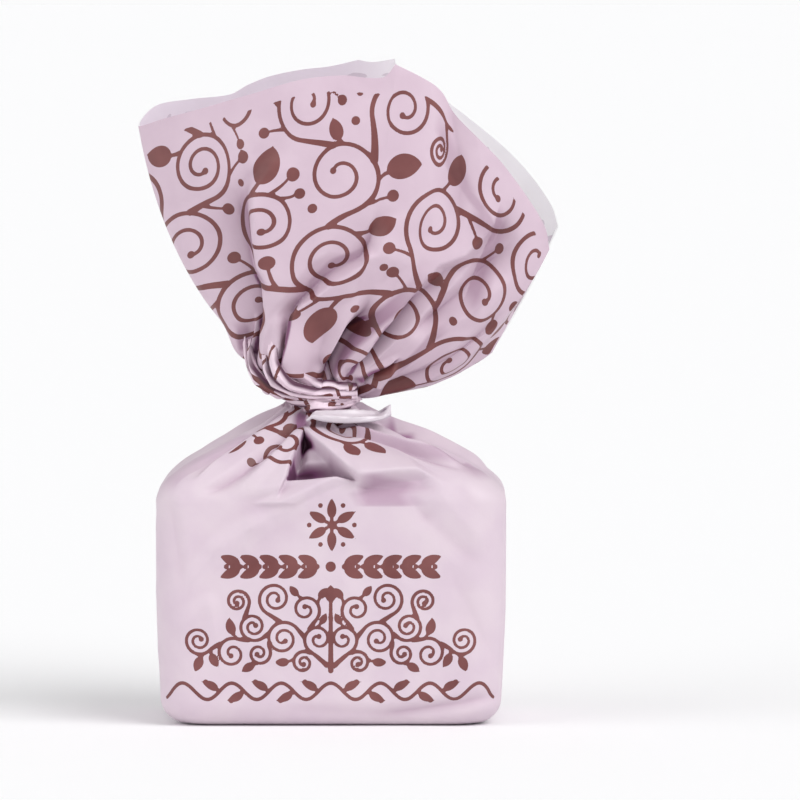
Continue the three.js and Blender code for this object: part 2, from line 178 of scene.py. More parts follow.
def hermite(start, end, leave, arrive, t):
    """A cubic curve from start to end, with the slopes that it leaves and arrives with."""
    return ((2 * t**3 - 3 * t**2 + 1) * start + (t**3 - 2 * t**2 + t) * leave
            + (3 * t**2 - 2 * t**3) * end + (t**3 - t**2) * arrive)


# ---- Folds ----
# A ridge (height > 0) or valley, with its half widths on both sides in degrees. path gives degrees round the
# neck for shares of the way up, and rise and fall say over which shares it comes and goes. lap moves the
# paper sideways, in mm, so that a ridge leans over the paper beside it.
crease = namedtuple("crease", "height before after rise fall path lap", defaults=[0.0])


def pleat(side, crest, valley, lap, wide, deep, steep, rise, fall, path):
    """A ridge that hangs over a valley on its side +1 or -1 (towards larger or smaller degrees)."""
    under = [(share, deg + side * steep) for share, deg in path]
    over_sides = (wide, steep) if side > 0 else (steep, wide)
    under_sides = (steep, deep) if side > 0 else (deep, steep)
    return [crease(crest, *over_sides, rise, fall, path, side * lap),
            crease(-valley, *under_sides, rise, fall, under)]


LEFT_VALLEY = [(0, 191), (0.135, 196), (0.225, 204), (0.3, 209), (0.4, 208), (0.47, 206), (0.56, 207),
               (0.68, 208), (0.75, 209), (0.81, 219), (0.87, 229)]
LEFT_RIDGE = [(0, 200), (0.225, 209), (0.35, 213), (0.39, 216), (0.44, 220), (0.5, 217), (0.6, 216),
              (0.75, 219), (0.87, 237)]
BULGE_EDGE = [(0.03, 245), (0.077, 234), (0.135, 231), (0.263, 233), (0.325, 235), (0.355, 240),
              (0.383, 246), (0.44, 254), (0.48, 259), (0.52, 267), (0.61, 269), (0.69, 276)]
NECK_VALLEY = [(0.03, 262), (0.11, 263), (0.15, 264), (0.22, 266.5), (0.275, 269), (0.32, 270.5), (0.4, 269)]
RIGHT_RIDGE = [(0.04, 282), (0.21, 280), (0.29, 281), (0.385, 284.5), (0.47, 288), (0.58, 292), (0.66, 300),
               (0.78, 305), (0.86, 306)]
FLARE_CREASES = [
    crease(-1.9, 22, 8, (0.05, 0.2), (0.62, 0.84), LEFT_VALLEY),
    crease(0.8, 7, 24, (0.1, 0.3), (0.66, 0.86), LEFT_RIDGE),
    *pleat(-1, 0.7, 1.3, 0.6, 9, 9, 2.2, (0.02, 0.12), (0.24, 0.4),
           [(0, 193), (0.08, 194), (0.135, 197), (0.225, 205), (0.3, 211), (0.4, 212)]),
    *pleat(-1, 0.4, 0.9, 0.4, 6, 7, 2.4, (0.02, 0.1), (0.2, 0.34),
           [(0, 180), (0.12, 184), (0.23, 196), (0.33, 203)]),
    *pleat(-1, 0.9, 1.0, 0.5, 16, 10, 2.6, (0.03, 0.12), (0.3, 0.42), BULGE_EDGE),
    *pleat(-1, 0.75, 1.0, 0, 18, 14, 4.5, (0.28, 0.42), (0.5, 0.68), BULGE_EDGE),
    crease(-2.9, 5, 8, (0.0, 0.1), (0.2, 0.42), NECK_VALLEY),
    *pleat(1, 0.8, 2.1, 0.6, 7, 12, 2.8, (0.08, 0.2), (0.34, 0.56), RIGHT_RIDGE),
    crease(0.6, 14, 5, (0.4, 0.5), (0.78, 0.92), RIGHT_RIDGE),
    crease(-0.9, 5, 14, (0.42, 0.52), (0.8, 0.95), [(s, d + 5) for s, d in RIGHT_RIDGE]),
    crease(-1.3, 6, 10, (0.3, 0.42), (0.7, 0.9), [(0.3, 302), (0.43, 305), (0.54, 309), (0.67, 312),
                                                  (0.8, 318)]),
    *pleat(1, 0.5, 1.5, 0.4, 5, 9, 2.2, (0.03, 0.08), (0.17, 0.23),
           [(0.06, 301), (0.09, 298.5), (0.16, 303), (0.22, 307)]),
    crease(0.6, 9, 3, (0.03, 0.08), (0.17, 0.24), [(0.06, 307), (0.1, 322), (0.17, 315), (0.22, 309)]),
    crease(-0.7, 10, 9, (0.6, 0.85), (1.2, 1.3), [(0.6, 297), (0.86, 291), (1, 284)]),
    crease(-0.8, 9, 9, (0.05, 0.2), (0.5, 0.8), [(0, 335), (0.4, 338), (0.8, 334)]),
    *pleat(1, 0.4, 1.0, 0.4, 5, 6, 2.4, (0.02, 0.1), (0.16, 0.34), [(0, 216), (0.12, 219), (0.34, 225)]),
    crease(-0.5, 6, 8, (0.02, 0.12), (0.2, 0.36), [(0, 250), (0.3, 253)]),
    crease(-1.5, 9, 14, (0.05, 0.2), (0.45, 0.8), [(0, 40), (0.4, 46), (0.8, 52)]),
    *pleat(1, 0.7, 1.3, 0.5, 16, 9, 2.4, (0.03, 0.14), (0.3, 0.6), [(0, 60), (0.3, 66), (0.6, 62)]),
    crease(-1.3, 16, 6, (0.05, 0.2), (0.5, 0.9), [(0, 82), (0.5, 86), (0.9, 80)]),
    crease(0.8, 6, 14, (0.1, 0.25), (0.4, 0.7), [(0, 98), (0.7, 94)]),
    *pleat(-1, 0.7, 1.5, 0.5, 12, 8, 2.4, (0.03, 0.14), (0.34, 0.66), [(0, 124), (0.35, 118), (0.66, 112)]),
    crease(-1.1, 9, 9, (0.05, 0.2), (0.35, 0.6), [(0, 152), (0.6, 148)]),
    crease(-0.8, 7, 7, (0.3, 0.5), (0.8, 0.95), [(0.3, 134), (0.95, 138)]),
]
# The pocket under the two flaps at the front of the shoulder: degrees for shares, shares for degrees.
POCKET_LEFT = [(0.02, 253.5), (0.083, 252), (0.147, 252.2), (0.265, 254), (0.5, 254.8), (0.735, 256),
               (0.8, 256)]
POCKET_RIGHT = [(0.1, 285), (0.23, 280.8), (0.36, 276.5), (0.51, 271), (0.68, 262.8), (0.78, 257.5)]
POCKET_BASE = [(250, 0.23), (254, 0.24), (263, 0.252), (272, 0.262), (281, 0.23)]
POCKET_DEPTH, POCKET_FACET = 2.5, 1.6
POCKET_SIDE, POCKET_STEP = 1.6, 0.035         # how soon it reaches its depth: degrees, share
SHELF = [(276, 0.19), (283, 0.222), (290.5, 0.256), (303.5, 0.292), (307, 0.26)]
SHOULDER_CREASES = [
    crease(0.8, 15, 1.4, (0.02, 0.16), (0.72, 0.86), POCKET_LEFT, 0.5),
    crease(1.2, 1.6, 30, (0.16, 0.26), (0.66, 0.86), POCKET_RIGHT, -0.6),
    crease(0.7, 9, 7, (-0.1, 0.02), (0.25, 0.34), [(0.02, 253.5), (0.138, 262.8), (0.268, 272.8)]),
    *pleat(-1, 0.35, 0.6, 0.3, 14, 8, 1.8, (0.2, 0.45), (0.86, 0.98),
           [(0.3, 224), (0.5, 225), (0.75, 226), (0.97, 218)]),
    crease(-0.6, 5, 7, (0.05, 0.2), (0.75, 0.9), [(0.1, 231), (0.3, 237.5), (0.53, 242), (0.71, 245)]),
    crease(0.5, 5, 5, (0.1, 0.3), (0.7, 0.88), [(0.1, 238), (0.3, 244), (0.53, 248), (0.71, 250)]),
    crease(0.6, 8, 6, (0.35, 0.5), (0.82, 0.95), [(0.44, 324), (0.59, 317), (0.71, 302.5), (0.85, 277)]),
    crease(-0.6, 8, 5, (0.3, 0.45), (0.74, 0.86), [(0.3, 322), (0.44, 316), (0.59, 308), (0.71, 294),
                                                   (0.8, 280)]),
    crease(-0.9, 8, 5, (0.3, 0.5), (0.85, 0.98), [(0.1, 332), (0.76, 326), (0.9, 318)]),
    crease(0.7, 9, 26, (0.2, 0.4), (0.6, 0.9), [(0.1, 348), (0.76, 344), (0.9, 340)]),
    crease(-1.4, 12, 6, (0.08, 0.26), (0.7, 0.9), [(0, 70), (0.9, 78)]),
    crease(0.8, 5, 24, (0.08, 0.26), (0.7, 0.9), [(0, 84), (0.9, 90)]),
    *pleat(1, 0.6, 1.2, 0.5, 18, 10, 2, (0.06, 0.24), (0.7, 0.9), [(0, 104), (0.5, 102), (0.9, 98)]),
    crease(-1.0, 8, 8, (0.1, 0.3), (0.7, 0.9), [(0, 132), (0.9, 124)]),
    crease(-0.8, 9, 9, (0.1, 0.3), (0.7, 0.9), [(0, 20), (0.9, 28)]),
    crease(-0.8, 9, 9, (0.1, 0.3), (0.7, 0.9), [(0, 160), (0.9, 166)]),
]
# Painted shade in the folds: where the paper is painted darker, as creases whose height says how much (1 is the
# full fold colour).
FLARE_SHADES = [
    crease(0.75, 4, 4, (0.04, 0.1), (0.28, 0.62), [(0.126, 271), (0.206, 272), (0.291, 275.5), (0.366, 280),
                                                   (0.434, 284.5), (0.509, 288)]),
    crease(1.0, 3, 3, (0.05, 0.1), (0.3, 0.38), [(0.1, 287), (0.18, 283.5), (0.25, 282), (0.31, 283),
                                                 (0.35, 285)]),
    crease(0.6, 5, 4, (0.4, 0.48), (0.68, 0.8), [(0.42, 217.5), (0.5, 212), (0.6, 209.5), (0.68, 209.5),
                                                 (0.76, 213)]),
    crease(0.45, 5, 3, (0.36, 0.44), (0.55, 0.62), [(0.42, 244), (0.5, 254), (0.54, 262)]),
    crease(0.35, 8, 8, (0.72, 0.8), (0.9, 0.97), [(0.81, 304), (0.83, 298), (0.85, 291), (0.9, 285)]),
    crease(0.5, 1, 11, (0.5, 0.6), (0.84, 0.9), [(0.55, 313), (0.67, 309.5), (0.77, 308), (0.86, 307)]),
    crease(0.4, 4, 4, (0.14, 0.22), (0.36, 0.46), [(0.19, 318), (0.27, 315), (0.35, 312.5), (0.43, 315)]),
    crease(1.0, 2.6, 2.6, (0.07, 0.09), (0.19, 0.22), [(0.09, 296), (0.13, 299.5), (0.17, 304), (0.21, 310)]),
    crease(0.6, 4, 4, (0.1, 0.14), (0.24, 0.32), [(0.14, 188.5), (0.2, 187), (0.27, 191)]),
    crease(1.15, 1.5, 1.5, (0.06, 0.1), (0.44, 0.52), [(0.065, 189), (0.14, 197), (0.22, 205),
                                                       (0.33, 209.5), (0.46, 206)]),
    crease(1.1, 1.4, 1.4, (0.06, 0.1), (0.27, 0.32), [(0.17, 192), (0.235, 199), (0.295, 202)]),
    crease(1.05, 1.5, 1.5, (0.02, 0.06), (0.3, 0.36), [(0.048, 237), (0.1, 232.5), (0.152, 231),
                                                       (0.215, 233), (0.335, 236)]),
    crease(1.1, 1.8, 1.8, (0.02, 0.06), (0.28, 0.33), [(0.11, 262), (0.168, 265), (0.233, 267), (0.31, 274)]),
]
SHOULDER_SHADES = [
    crease(0.22, 16, 1.5, (0.1, 0.25), (0.94, 1.02), [(0.19, 217), (0.38, 218), (0.54, 217), (0.7, 218),
                                                      (0.75, 229), (0.9, 232)]),
    crease(0.4, 10, 4, (0.2, 0.34), (0.8, 0.9), [(0.25, 328), (0.4, 330), (0.53, 316.5), (0.65, 306),
                                                 (0.73, 296), (0.88, 290)]),
    crease(0.85, 12, 9, (0.66, 0.71), (0.78, 0.85), [(0.7, 330), (0.76, 326), (0.82, 336)]),
    crease(0.9, 10, 8, (0.7, 0.82), (0.94, 1.0), [(0.72, 259), (0.85, 252), (0.93, 247)]),
    crease(0.5, 9, 16, (-0.1, 0.04), (0.22, 0.26), [(0, 286), (0.1, 284), (0.22, 290)]),
]
# Shallow hollows in the walls: degrees round the body, height, half sizes along both, depth.
WALL_DENTS = [
    (0, 10, 24, 7, 0.5),
    (180, 11, 24, 7, 0.5),
    (70, 15, 20, 7, 0.5),
    (112, 8, 18, 6, 0.4),
]
# Soft creases across the front: ends as (x, z), half widths above and below the line, height.
FRONT_CREASES = [
    ((-10.4, 16.4), (-6.7, 18.6), 1.4, 1.8, 0.36),
    ((-6.7, 18.6), (-2.6, 20.9), 1.2, 1.7, 0.42),
    ((-12.6, 13.2), (-10.4, 16.4), 1.3, 1.2, 0.2),
    ((-7.8, 16.2), (-7.2, 18.4), 0.9, 0.9, 0.15),
    ((7.2, 20.9), (8.8, 19.0), 1.8, 1.6, -0.3),
    ((8.8, 19.0), (12.8, 15.4), 1.8, 1.5, -0.2),
    ((9.6, 21.6), (13.4, 17.6), 1.6, 1.8, 0.2),
    ((5.6, 0.9), (13.8, 2.5), 1.3, 1.0, -0.6),
    ((-13.8, 9.0), (-11.0, 11.4), 1.5, 1.3, 0.2),
    ((-11.0, 11.4), (-10.6, 8.4), 1.3, 1.3, 0.16),
    ((-14.6, 20.0), (-13.6, 14.0), 1.0, 1.2, -0.18),
    ((11.5, 13.0), (14.2, 7.5), 1.8, 1.8, -0.2),
    ((-3.0, 1.6), (4.5, 1.1), 1.2, 0.9, -0.2),
]
CRUMPLES, CRUMPLE_SEED = 150, 5         # faint creases all over the paper
SEQUENCES = (0.618034, 0.754878, 0.56984, 0.819173)
# Where something comes, is whole, begins to go and is gone: degrees, shares or millimetres of height.
FACET_DEGS, FACET_SHARES = (255, 262), (0.42, 0.5, 0.6, 0.7)
SHELF_ENDS = (278, 282, 301, 307)
CREASE_ENDS = (-0.35, 0.15, 0.85, 1.35)
DENT_HEIGHTS = (1, 4, 17, WALL_TOP)
SHOULDER_FRONT, FLARE_FRONT = (246, 258, 272, 300), (196, 210, 300, 325)      # calmer paper
SLING_DEGS, SLING_SHARES = (150, 190, 236, 262), (-0.02, 0.03, 0.12, 0.32)


def crease_part(c, deg, share):
    """How strong a crease is at each share of the way up, and the part of its height at each place across."""
    offset = signed_turn(deg - along_path(share, c.path))
    return rise_and_fall(share, *c.rise, *c.fall), tent(offset, c.before, c.after)


def crease_relief(creases, deg, share, measure="height"):
    """How far the creases lift the paper, or with "lap" how far they move it sideways."""
    total = np.zeros(np.broadcast(deg, share).shape)
    for c in creases:
        if getattr(c, measure):
            strength, part = crease_part(c, deg, share)
            total += getattr(c, measure) * strength * part
    return total


def pocket_relief(deg, share):
    right = signed_turn(deg - along_path(share, POCKET_LEFT)) / POCKET_SIDE
    left = signed_turn(along_path(share, POCKET_RIGHT) - deg) / POCKET_SIDE
    above = (share - along_path(deg, POCKET_BASE)) / POCKET_STEP
    depth = POCKET_DEPTH * (1 - smoothstep(0.55, 0.8, share))
    hollow = np.clip(right, 0, 1) * np.clip(left, 0, 1) * np.clip(above, 0, 1)
    return hollow * (POCKET_FACET * pocket_facet(deg, share) - depth)


def pocket_facet(deg, share):
    """1 where the paper inside the pocket comes forward, on the right of its dark corner."""
    return smoothstep(*FACET_DEGS, deg) * rise_and_fall(share, *FACET_SHARES)


def shelf_relief(deg, share):
    """The lower edge of the right flap."""
    ends = rise_and_fall(deg, *SHELF_ENDS)
    offset = share - along_path(deg, SHELF)
    return ends * (0.7 * tent(offset, 0.025, 0.3) - 0.75 * tent(offset + 0.03, 0.2, 0.03))


def front_relief(points):
    """Soft creases across the front, by where they lie."""
    x, z = points[..., 0], points[..., 2]
    height = np.zeros(x.shape)
    for (x0, z0), (x1, z1), above, below, lift in FRONT_CREASES:
        length = math.hypot(x1 - x0, z1 - z0)
        along = ((x - x0) * (x1 - x0) + (z - z0) * (z1 - z0)) / length**2
        upward = 1 if x1 > x0 else -1
        across = ((z - z0) * (x1 - x0) - (x - x0) * (z1 - z0)) / length * upward
        height += lift * tent(across, below, above) ** 1.3 * rise_and_fall(along, *CREASE_ENDS)
    return height * smoothstep(5, 9, -points[..., 1])


def crumple_relief(points):
    """Faint straight creases at random places, each between two nearby points."""
    height = np.zeros(points.shape[:-1])
    for middle, run, lift, width in zip(*CRUMPLE_LINES):
        offset = points - middle
        along = offset @ run / (run @ run)
        near = np.abs(along) < 1
        away = np.linalg.norm(offset[near] - along[near, None] * run, axis=-1)
        height[near] += lift * np.clip(1 - away / width, 0, 1) * (1 - along[near] ** 2)
    return height


def uneven(i, sequence):
    """Evenly spread, irregular values in 0..1."""
    return (i + 1) * SEQUENCES[sequence] % 1


def gather_relief(deg, reach, count=26, low=0.42, high=1.2, first=0):
    """Ridges and valleys pulled together by the twist. reach is 0 at the neck, 1 at the longest's end."""
    width = 360 / count
    height = np.zeros(np.broadcast(deg, reach).shape)
    for i in range(count):
        middle = width * (i + lerp(-0.25, 0.25, uneven(i + first, 0)))
        size = lerp(low, high, uneven(i + first, 1)) * (1 if i % 2 else -1)
        strength = np.clip(1 - reach / lerp(0.5, 1, uneven(i + first, 2)), 0, 1) ** 1.3
        lean = lerp(0.6, 1.4, uneven(i + first, 3))
        height += size * strength * tent(signed_turn(deg - middle), width * lean, width * (2 - lean))
    return height


def all_gathers(deg, reach):
    """Wide strands at the neck, the gathers that run out of them, and fine wrinkles."""
    return (gather_relief(deg, reach * 2.6, count=12, low=0.25, high=0.55, first=80)
            + gather_relief(deg, reach) * lerp(1, 0.55, np.exp(-((reach / 0.12) ** 2)))
            + gather_relief(deg, reach * 1.6, count=58, low=0.06, high=0.28, first=40))


# ---- The wrapper's smooth form, section by section: 0 degrees is on the right, 270 in front ----
def outline(deg):
    quarter = (np.asarray(deg, float) % 360) / 90
    index = np.floor(quarter).astype(int) % 4
    part = quarter - np.floor(quarter)
    part = np.where(index % 2 == 1, 1 - part, part)
    side_x, side_y = BODY_WIDTH / 2 - BODY_CORNER, BODY_DEPTH / 2 - BODY_CORNER
    arc = math.pi / 2 * BODY_CORNER
    run = part * (side_x + arc + side_y)
    turn = np.clip((run - side_y) / BODY_CORNER, 0, math.pi / 2)
    x = side_x + BODY_CORNER * np.cos(turn) - np.clip(run - side_y - arc, 0, None)
    y = np.minimum(run, side_y) + BODY_CORNER * np.sin(turn)
    return np.where(index % 3 == 0, x, -x), np.where(index < 2, y, -y)


def wall_point(deg, share):
    z = share * WALL_TOP
    below = np.clip(1 - z / BASE_FILLET, 0, 1)
    inset = BASE_FILLET * (1 - np.sqrt(1 - below**2)) + BASE_TAPER * (1 - smoothstep(0, TAPER_HEIGHT, z))
    x, y = outline(deg)
    return stack(x * (1 - 2 * inset / BODY_WIDTH), y * (1 - 2 * inset / BODY_DEPTH), z)


def wall_relief(deg, share):
    z = share * WALL_TOP
    height = np.zeros(np.broadcast(deg, share).shape)
    for dent_deg, dent_z, reach, rise, depth in WALL_DENTS:
        across = signed_turn(deg - dent_deg) / reach
        height -= depth * np.exp(-2 * (across**2 + ((z - dent_z) / rise) ** 2))
    height *= rise_and_fall(z, *DENT_HEIGHTS)
    points = wall_point(deg, share)
    return height + (front_relief(points) + crumple_relief(points)) * smoothstep(0, 1.2, z)


def neck_circle(deg, radius, z):
    turn = np.radians(deg)
    return stack(NECK_X + radius * np.cos(turn), radius * np.sin(turn), z)


def shoulder_point(deg, share):
    x, y = outline(deg)
    neck = neck_circle(deg, NECK_RADIUS * SHOULDER_RING, NECK_LOW)
    rest = 1 - share
    bend = lerp(FRONT_BEND, SIDE_BEND, smoothstep(0, SIDE_REACH, np.abs(np.cos(np.radians(deg)))))
    inwards = 3 * bend * rest * share**2 + share**3
    upwards = SHOULDER_RISE[0] * rest**2 * share + SHOULDER_RISE[1] * rest * share**2 + share**3
    return stack(lerp(x, neck[..., 0], inwards), lerp(y, neck[..., 1], inwards),
                 lerp(WALL_TOP, NECK_LOW, upwards))


def shoulder_relief(deg, share):
    reach = (1 - share) / SHOULDER_REACH
    front = rise_and_fall(deg, *SHOULDER_FRONT)
    calm = 1 - 0.7 * front * (1 - smoothstep(0.6, 0.9, share))
    points = shoulder_point(deg, share)
    return (crease_relief(SHOULDER_CREASES, deg, share) + pocket_relief(deg, share)
            + shelf_relief(deg, share) + all_gathers(deg, reach) * calm
            + front_relief(points) + crumple_relief(points) * (1 - share))


def flare_deg(deg, share):
    """Where a column of the body is in the flare, with the twist and the sweep above the neck."""
    untwisted = deg - TWIST
    side = 0.5 + 0.5 * np.cos(np.radians(untwisted - SWEEP_DEG))
    return untwisted + SWEEP * side * np.clip(1 - share / SWEEP_SHARE, 0, 1) ** 2


def flare_start_height(deg):
    return NECK_HIGH - NECK_TILT * np.cos(np.radians(deg))


def neck_point(deg, share):
    turned = lerp(deg, flare_deg(deg, 0), share)
    radius = NECK_RADIUS * (1.12 - 0.14 * np.sin(np.pi * share))
    return neck_circle(turned, radius, lerp(NECK_LOW, flare_start_height(turned), share))


def sling_relief(around, share):
    """The paper on the left hangs over the twist. share is below 0 on the neck."""
    side = rise_and_fall(around % 360, *SLING_DEGS)
    return SLING_HEIGHT * side * rise_and_fall(share, *SLING_SHARES)


def neck_relief(deg, share):
    turned = lerp(deg, flare_deg(deg, 0), share)
    return all_gathers(deg, 0) * (1 - 0.25 * np.sin(np.pi * share)) + sling_relief(turned, (share - 1) * 0.04)


def rim_point(deg):
    """A smooth closed curve through the rim stations, with its kinks."""
    at = np.asarray(deg, float) % 360
    count = len(RIM)
    result = np.zeros(at.shape + (3,))
    for i in range(count):
        stations = [RIM[k % count] + (360 * (k // count), 0, 0, 0) for k in range(i - 1, i + 3)]
        degs, points = [s[0] for s in stations], [s[1:] for s in stations]
        span, straight = degs[2] - degs[1], points[2] - points[1]
        leave, arrive = (straight if degs[k] % 360 in RIM_KINKS else
                         (points[k + 1] - points[k - 1]) / (degs[k + 1] - degs[k - 1]) * span
                         for k in (1, 2))
        here = (at >= degs[1]) & (at < degs[2])
        t = ((at[here] - degs[1]) / span)[:, None]
        result[here] = hermite(points[1], points[2], leave, arrive, t)
    return result


def flare_point(deg, share):
    """Each line of the paper leaves the neck outwards and bends up to the rim, like a tulip."""
    around = flare_deg(deg, share)
    start = neck_circle(around, NECK_RADIUS * FLARE_RING, flare_start_height(around))
    end = rim_point(around)
    right = np.exp(-((signed_turn(around) / RIGHT_DEG) ** 2))
    bend = start + (end - start) * (FLARE_BEND - RIGHT_EASE * right[..., None])
    t = np.broadcast_to(share, around.shape)[..., None]
    return (1 - t) ** 2 * start + 2 * t * (1 - t) * bend + t**2 * end


def flare_relief(deg, share):
    reach = share / FLARE_REACH
    around = flare_deg(deg, share)
    front = rise_and_fall(around % 360, *FLARE_FRONT)
    calm = 1 - 0.55 * front * smoothstep(0.04, 0.16, share)
    return (crease_relief(FLARE_CREASES, around, share) + sling_relief(around, share)
            + all_gathers(deg, reach) * calm
            + crumple_relief(flare_point(deg, share)) * smoothstep(0.1, 0.3, share))


# Each section's smooth form, the relief of its folds, and how far they move the paper sideways.
SECTIONS = {
    "wall": (wall_point, wall_relief, lambda deg, share: 0.0),
    "shoulder": (shoulder_point, shoulder_relief,
                 lambda deg, share: crease_relief(SHOULDER_CREASES, deg, share, "lap")),
    "neck": (neck_point, neck_relief, lambda deg, share: 0.0),
    "flare": (flare_point, flare_relief,
              lambda deg, share: crease_relief(FLARE_CREASES, flare_deg(deg, share), share, "lap")),
}


def crumple_lines():
    """Middles, half runs, heights and half widths of the faint creases."""
    rnd = random.Random(CRUMPLE_SEED)
    lines = []
    for k in range(CRUMPLES):
        section, low, high = [("wall", 0.05, 1), ("shoulder", 0, 0.7), ("flare", 0.3, 1)][k % 3]
        deg, share = rnd.uniform(0, 360), rnd.uniform(low, high)
        point = SECTIONS[section][0]
        ends = [point(np.array(deg + side * rnd.uniform(4, 16)), share + side * rnd.uniform(-0.16, 0.16))
                for side in (-1, 1)]
        lift = rnd.choice((-1, 1)) * rnd.uniform(0.04, 0.12) * (1.3 if section == "flare" else 1)
        lines.append(((ends[0] + ends[1]) / 2, (ends[1] - ends[0]) / 2, lift, rnd.uniform(0.5, 1.5)))
    return list(zip(*lines))


CRUMPLE_LINES = crumple_lines()


def paper_points(section, deg, share):
    """Points of the folded paper: the smooth form moved along its outward normal, and sideways."""
    point, relief, shift = SECTIONS[section]
    step = 0.01
    deg, share = np.broadcast_arrays(np.asarray(deg, float), np.asarray(share, float))
    across = point(deg + 1, share) - point(deg - 1, share)
    up = point(deg, np.minimum(share + step, 1)) - point(deg, np.maximum(share - step, 0))
    outward = unit(np.cross(across, up))
    sideways = unit(across) * np.broadcast_to(shift(deg, share), deg.shape)[..., None]
    return point(deg, share) + outward * relief(deg, share)[..., None] + sideways


# ---- Grids of points: rows by columns ----
DEGS = 360 * np.arange(COLUMNS) / COLUMNS


def places(rows):
    """Degrees and shares of the points of a section."""
    return np.meshgrid(DEGS, np.linspace(0, 1, rows))


def section_rows(section, count):
    """Rows of the folded paper, and of the smooth form that the print is laid out on."""
    return paper_points(section, *places(count)), SECTIONS[section][0](*places(count))


def grid_normals(points):
    across = np.roll(points, -1, 1) - np.roll(points, 1, 1)
    up = np.empty_like(points)
    up[1:-1] = points[2:] - points[:-2]
    up[0] = points[1] - points[0]
    up[-1] = points[-1] - points[-2]
    return unit(np.cross(across, up))


def blurred(grid, width):
    """A grid smoothed over so many rows and columns."""
    weights, beyond = gaussian_weights(width), (3 * width, 3 * width)
    padded = np.pad(np.pad(grid, ((0, 0), beyond), "wrap"), (beyond, (0, 0)), "edge")
    across = np.apply_along_axis(np.convolve, 1, padded, weights, "valid")
    return np.apply_along_axis(np.convolve, 0, across, weights, "valid")


def grid_triangles(rows, columns, closed=True):
    i = np.arange(rows - 1)[:, None] * columns
    j = np.arange(columns if closed else columns - 1)[None, :]
    a, b = i + j, i + (j + 1) % columns
    c, d = b + columns, a + columns
    return np.concatenate([np.stack([a, b, c], -1).reshape(-1, 3), np.stack([a, c, d], -1).reshape(-1, 3)])


# ---- The print: strokes, leaves and dots, all made of discs (x, y, radius) on flat paper, in mm ----
STEM = 0.2                      # half the width of a stem
CLEAR = 0.56                    # least gap between two motifs
STEP = 0.13                     # from one disc of a stroke to the next
CELL, UPDATE_REACH = 0.14, 4.0  # a page's cell, and how far from new ink its gaps are kept up to date
AT_ONCE = 4000                  # points measured in one go
NEAR_HOST = 1.5                 # a motif may touch the one that it grows from so near to its start


class Page:
    """Flat paper with a grid of the distance from each cell to the nearest ink."""
    def __init__(self, low, high, inside):
        self.low = np.array(low, float)
        size = np.ceil((np.array(high) - self.low) / CELL).astype(int) + 1
        axes = [self.low[k] + CELL * np.arange(size[k]) for k in (0, 1)]
        self.spots = np.stack(np.meshgrid(*axes, indexing="ij"), -1)
        self.gap = np.where(inside(self.spots[..., 0], self.spots[..., 1]), 9.0, -9.0)
        self.motifs = []

    def cells(self, points):
        return np.round((points - self.low) / CELL).astype(int)

    def clearance(self, discs):
        at = self.cells(discs[:, :2])
        if (at < 0).any() or (at >= self.gap.shape).any():
            return -9.0
        return (self.gap[at[:, 0], at[:, 1]] - discs[:, 2]).min()

    def add(self, discs):
        self.motifs.append(discs)
        for part in np.array_split(discs[::2], max(len(discs) // 60, 1)):
            low = np.floor((part[:, :2].min(0) - UPDATE_REACH - self.low) / CELL).astype(int).clip(0)
            high = np.ceil((part[:, :2].max(0) + UPDATE_REACH - self.low) / CELL).astype(int)
            window = (slice(low[0], high[0]), slice(low[1], high[1]))
            spots = self.spots[window]
            away = np.hypot(spots[..., 0, None] - part[:, 0], spots[..., 1, None] - part[:, 1]) - part[:, 2]
            self.gap[window] = np.minimum(self.gap[window], away.min(-1))


def path(start, heading, bends, step=STEP):
    angles = heading + np.cumsum(bends)
    points = np.array(start) + step * np.cumsum(np.stack([np.cos(angles), np.sin(angles)], -1), 0)
    return points, angles


def stem(start, heading, length, bend, first=STEM, last=STEM):
    steps = max(int(length / STEP), 2)
    points, angles = path(start, heading, np.full(steps, bend / steps))
    return np.column_stack([points, np.linspace(first, last, steps)]), angles


def volute(start, heading, radius, hand, turns):
    total = turns * 2 * math.pi
    bends, turned = [], 0.0
    while turned < total:
        size = radius * (1 - 0.8 * turned / total)
        bends.append(hand * STEP / size)
        turned += STEP / size
    points, angles = path(start, heading, np.array(bends))
    discs = np.column_stack([points, np.linspace(STEM, STEM * 0.8, len(points))])
    discs[-1, 2] = STEM * 1.5
    return discs, angles


def leaf(start, heading, length, width, bend):
    steps = int(length / 0.09)
    points, _ = path(start, heading, np.full(steps, bend / steps), 0.09)
    along = np.linspace(0, 1, steps)
    blade = width / 2 * np.sin(np.pi * np.clip((along - 0.12) / 0.88, 0, 1) ** 0.66)
    return np.column_stack([points, np.maximum(blade, np.where(along < 0.4, STEM * 0.8, 0.04))])


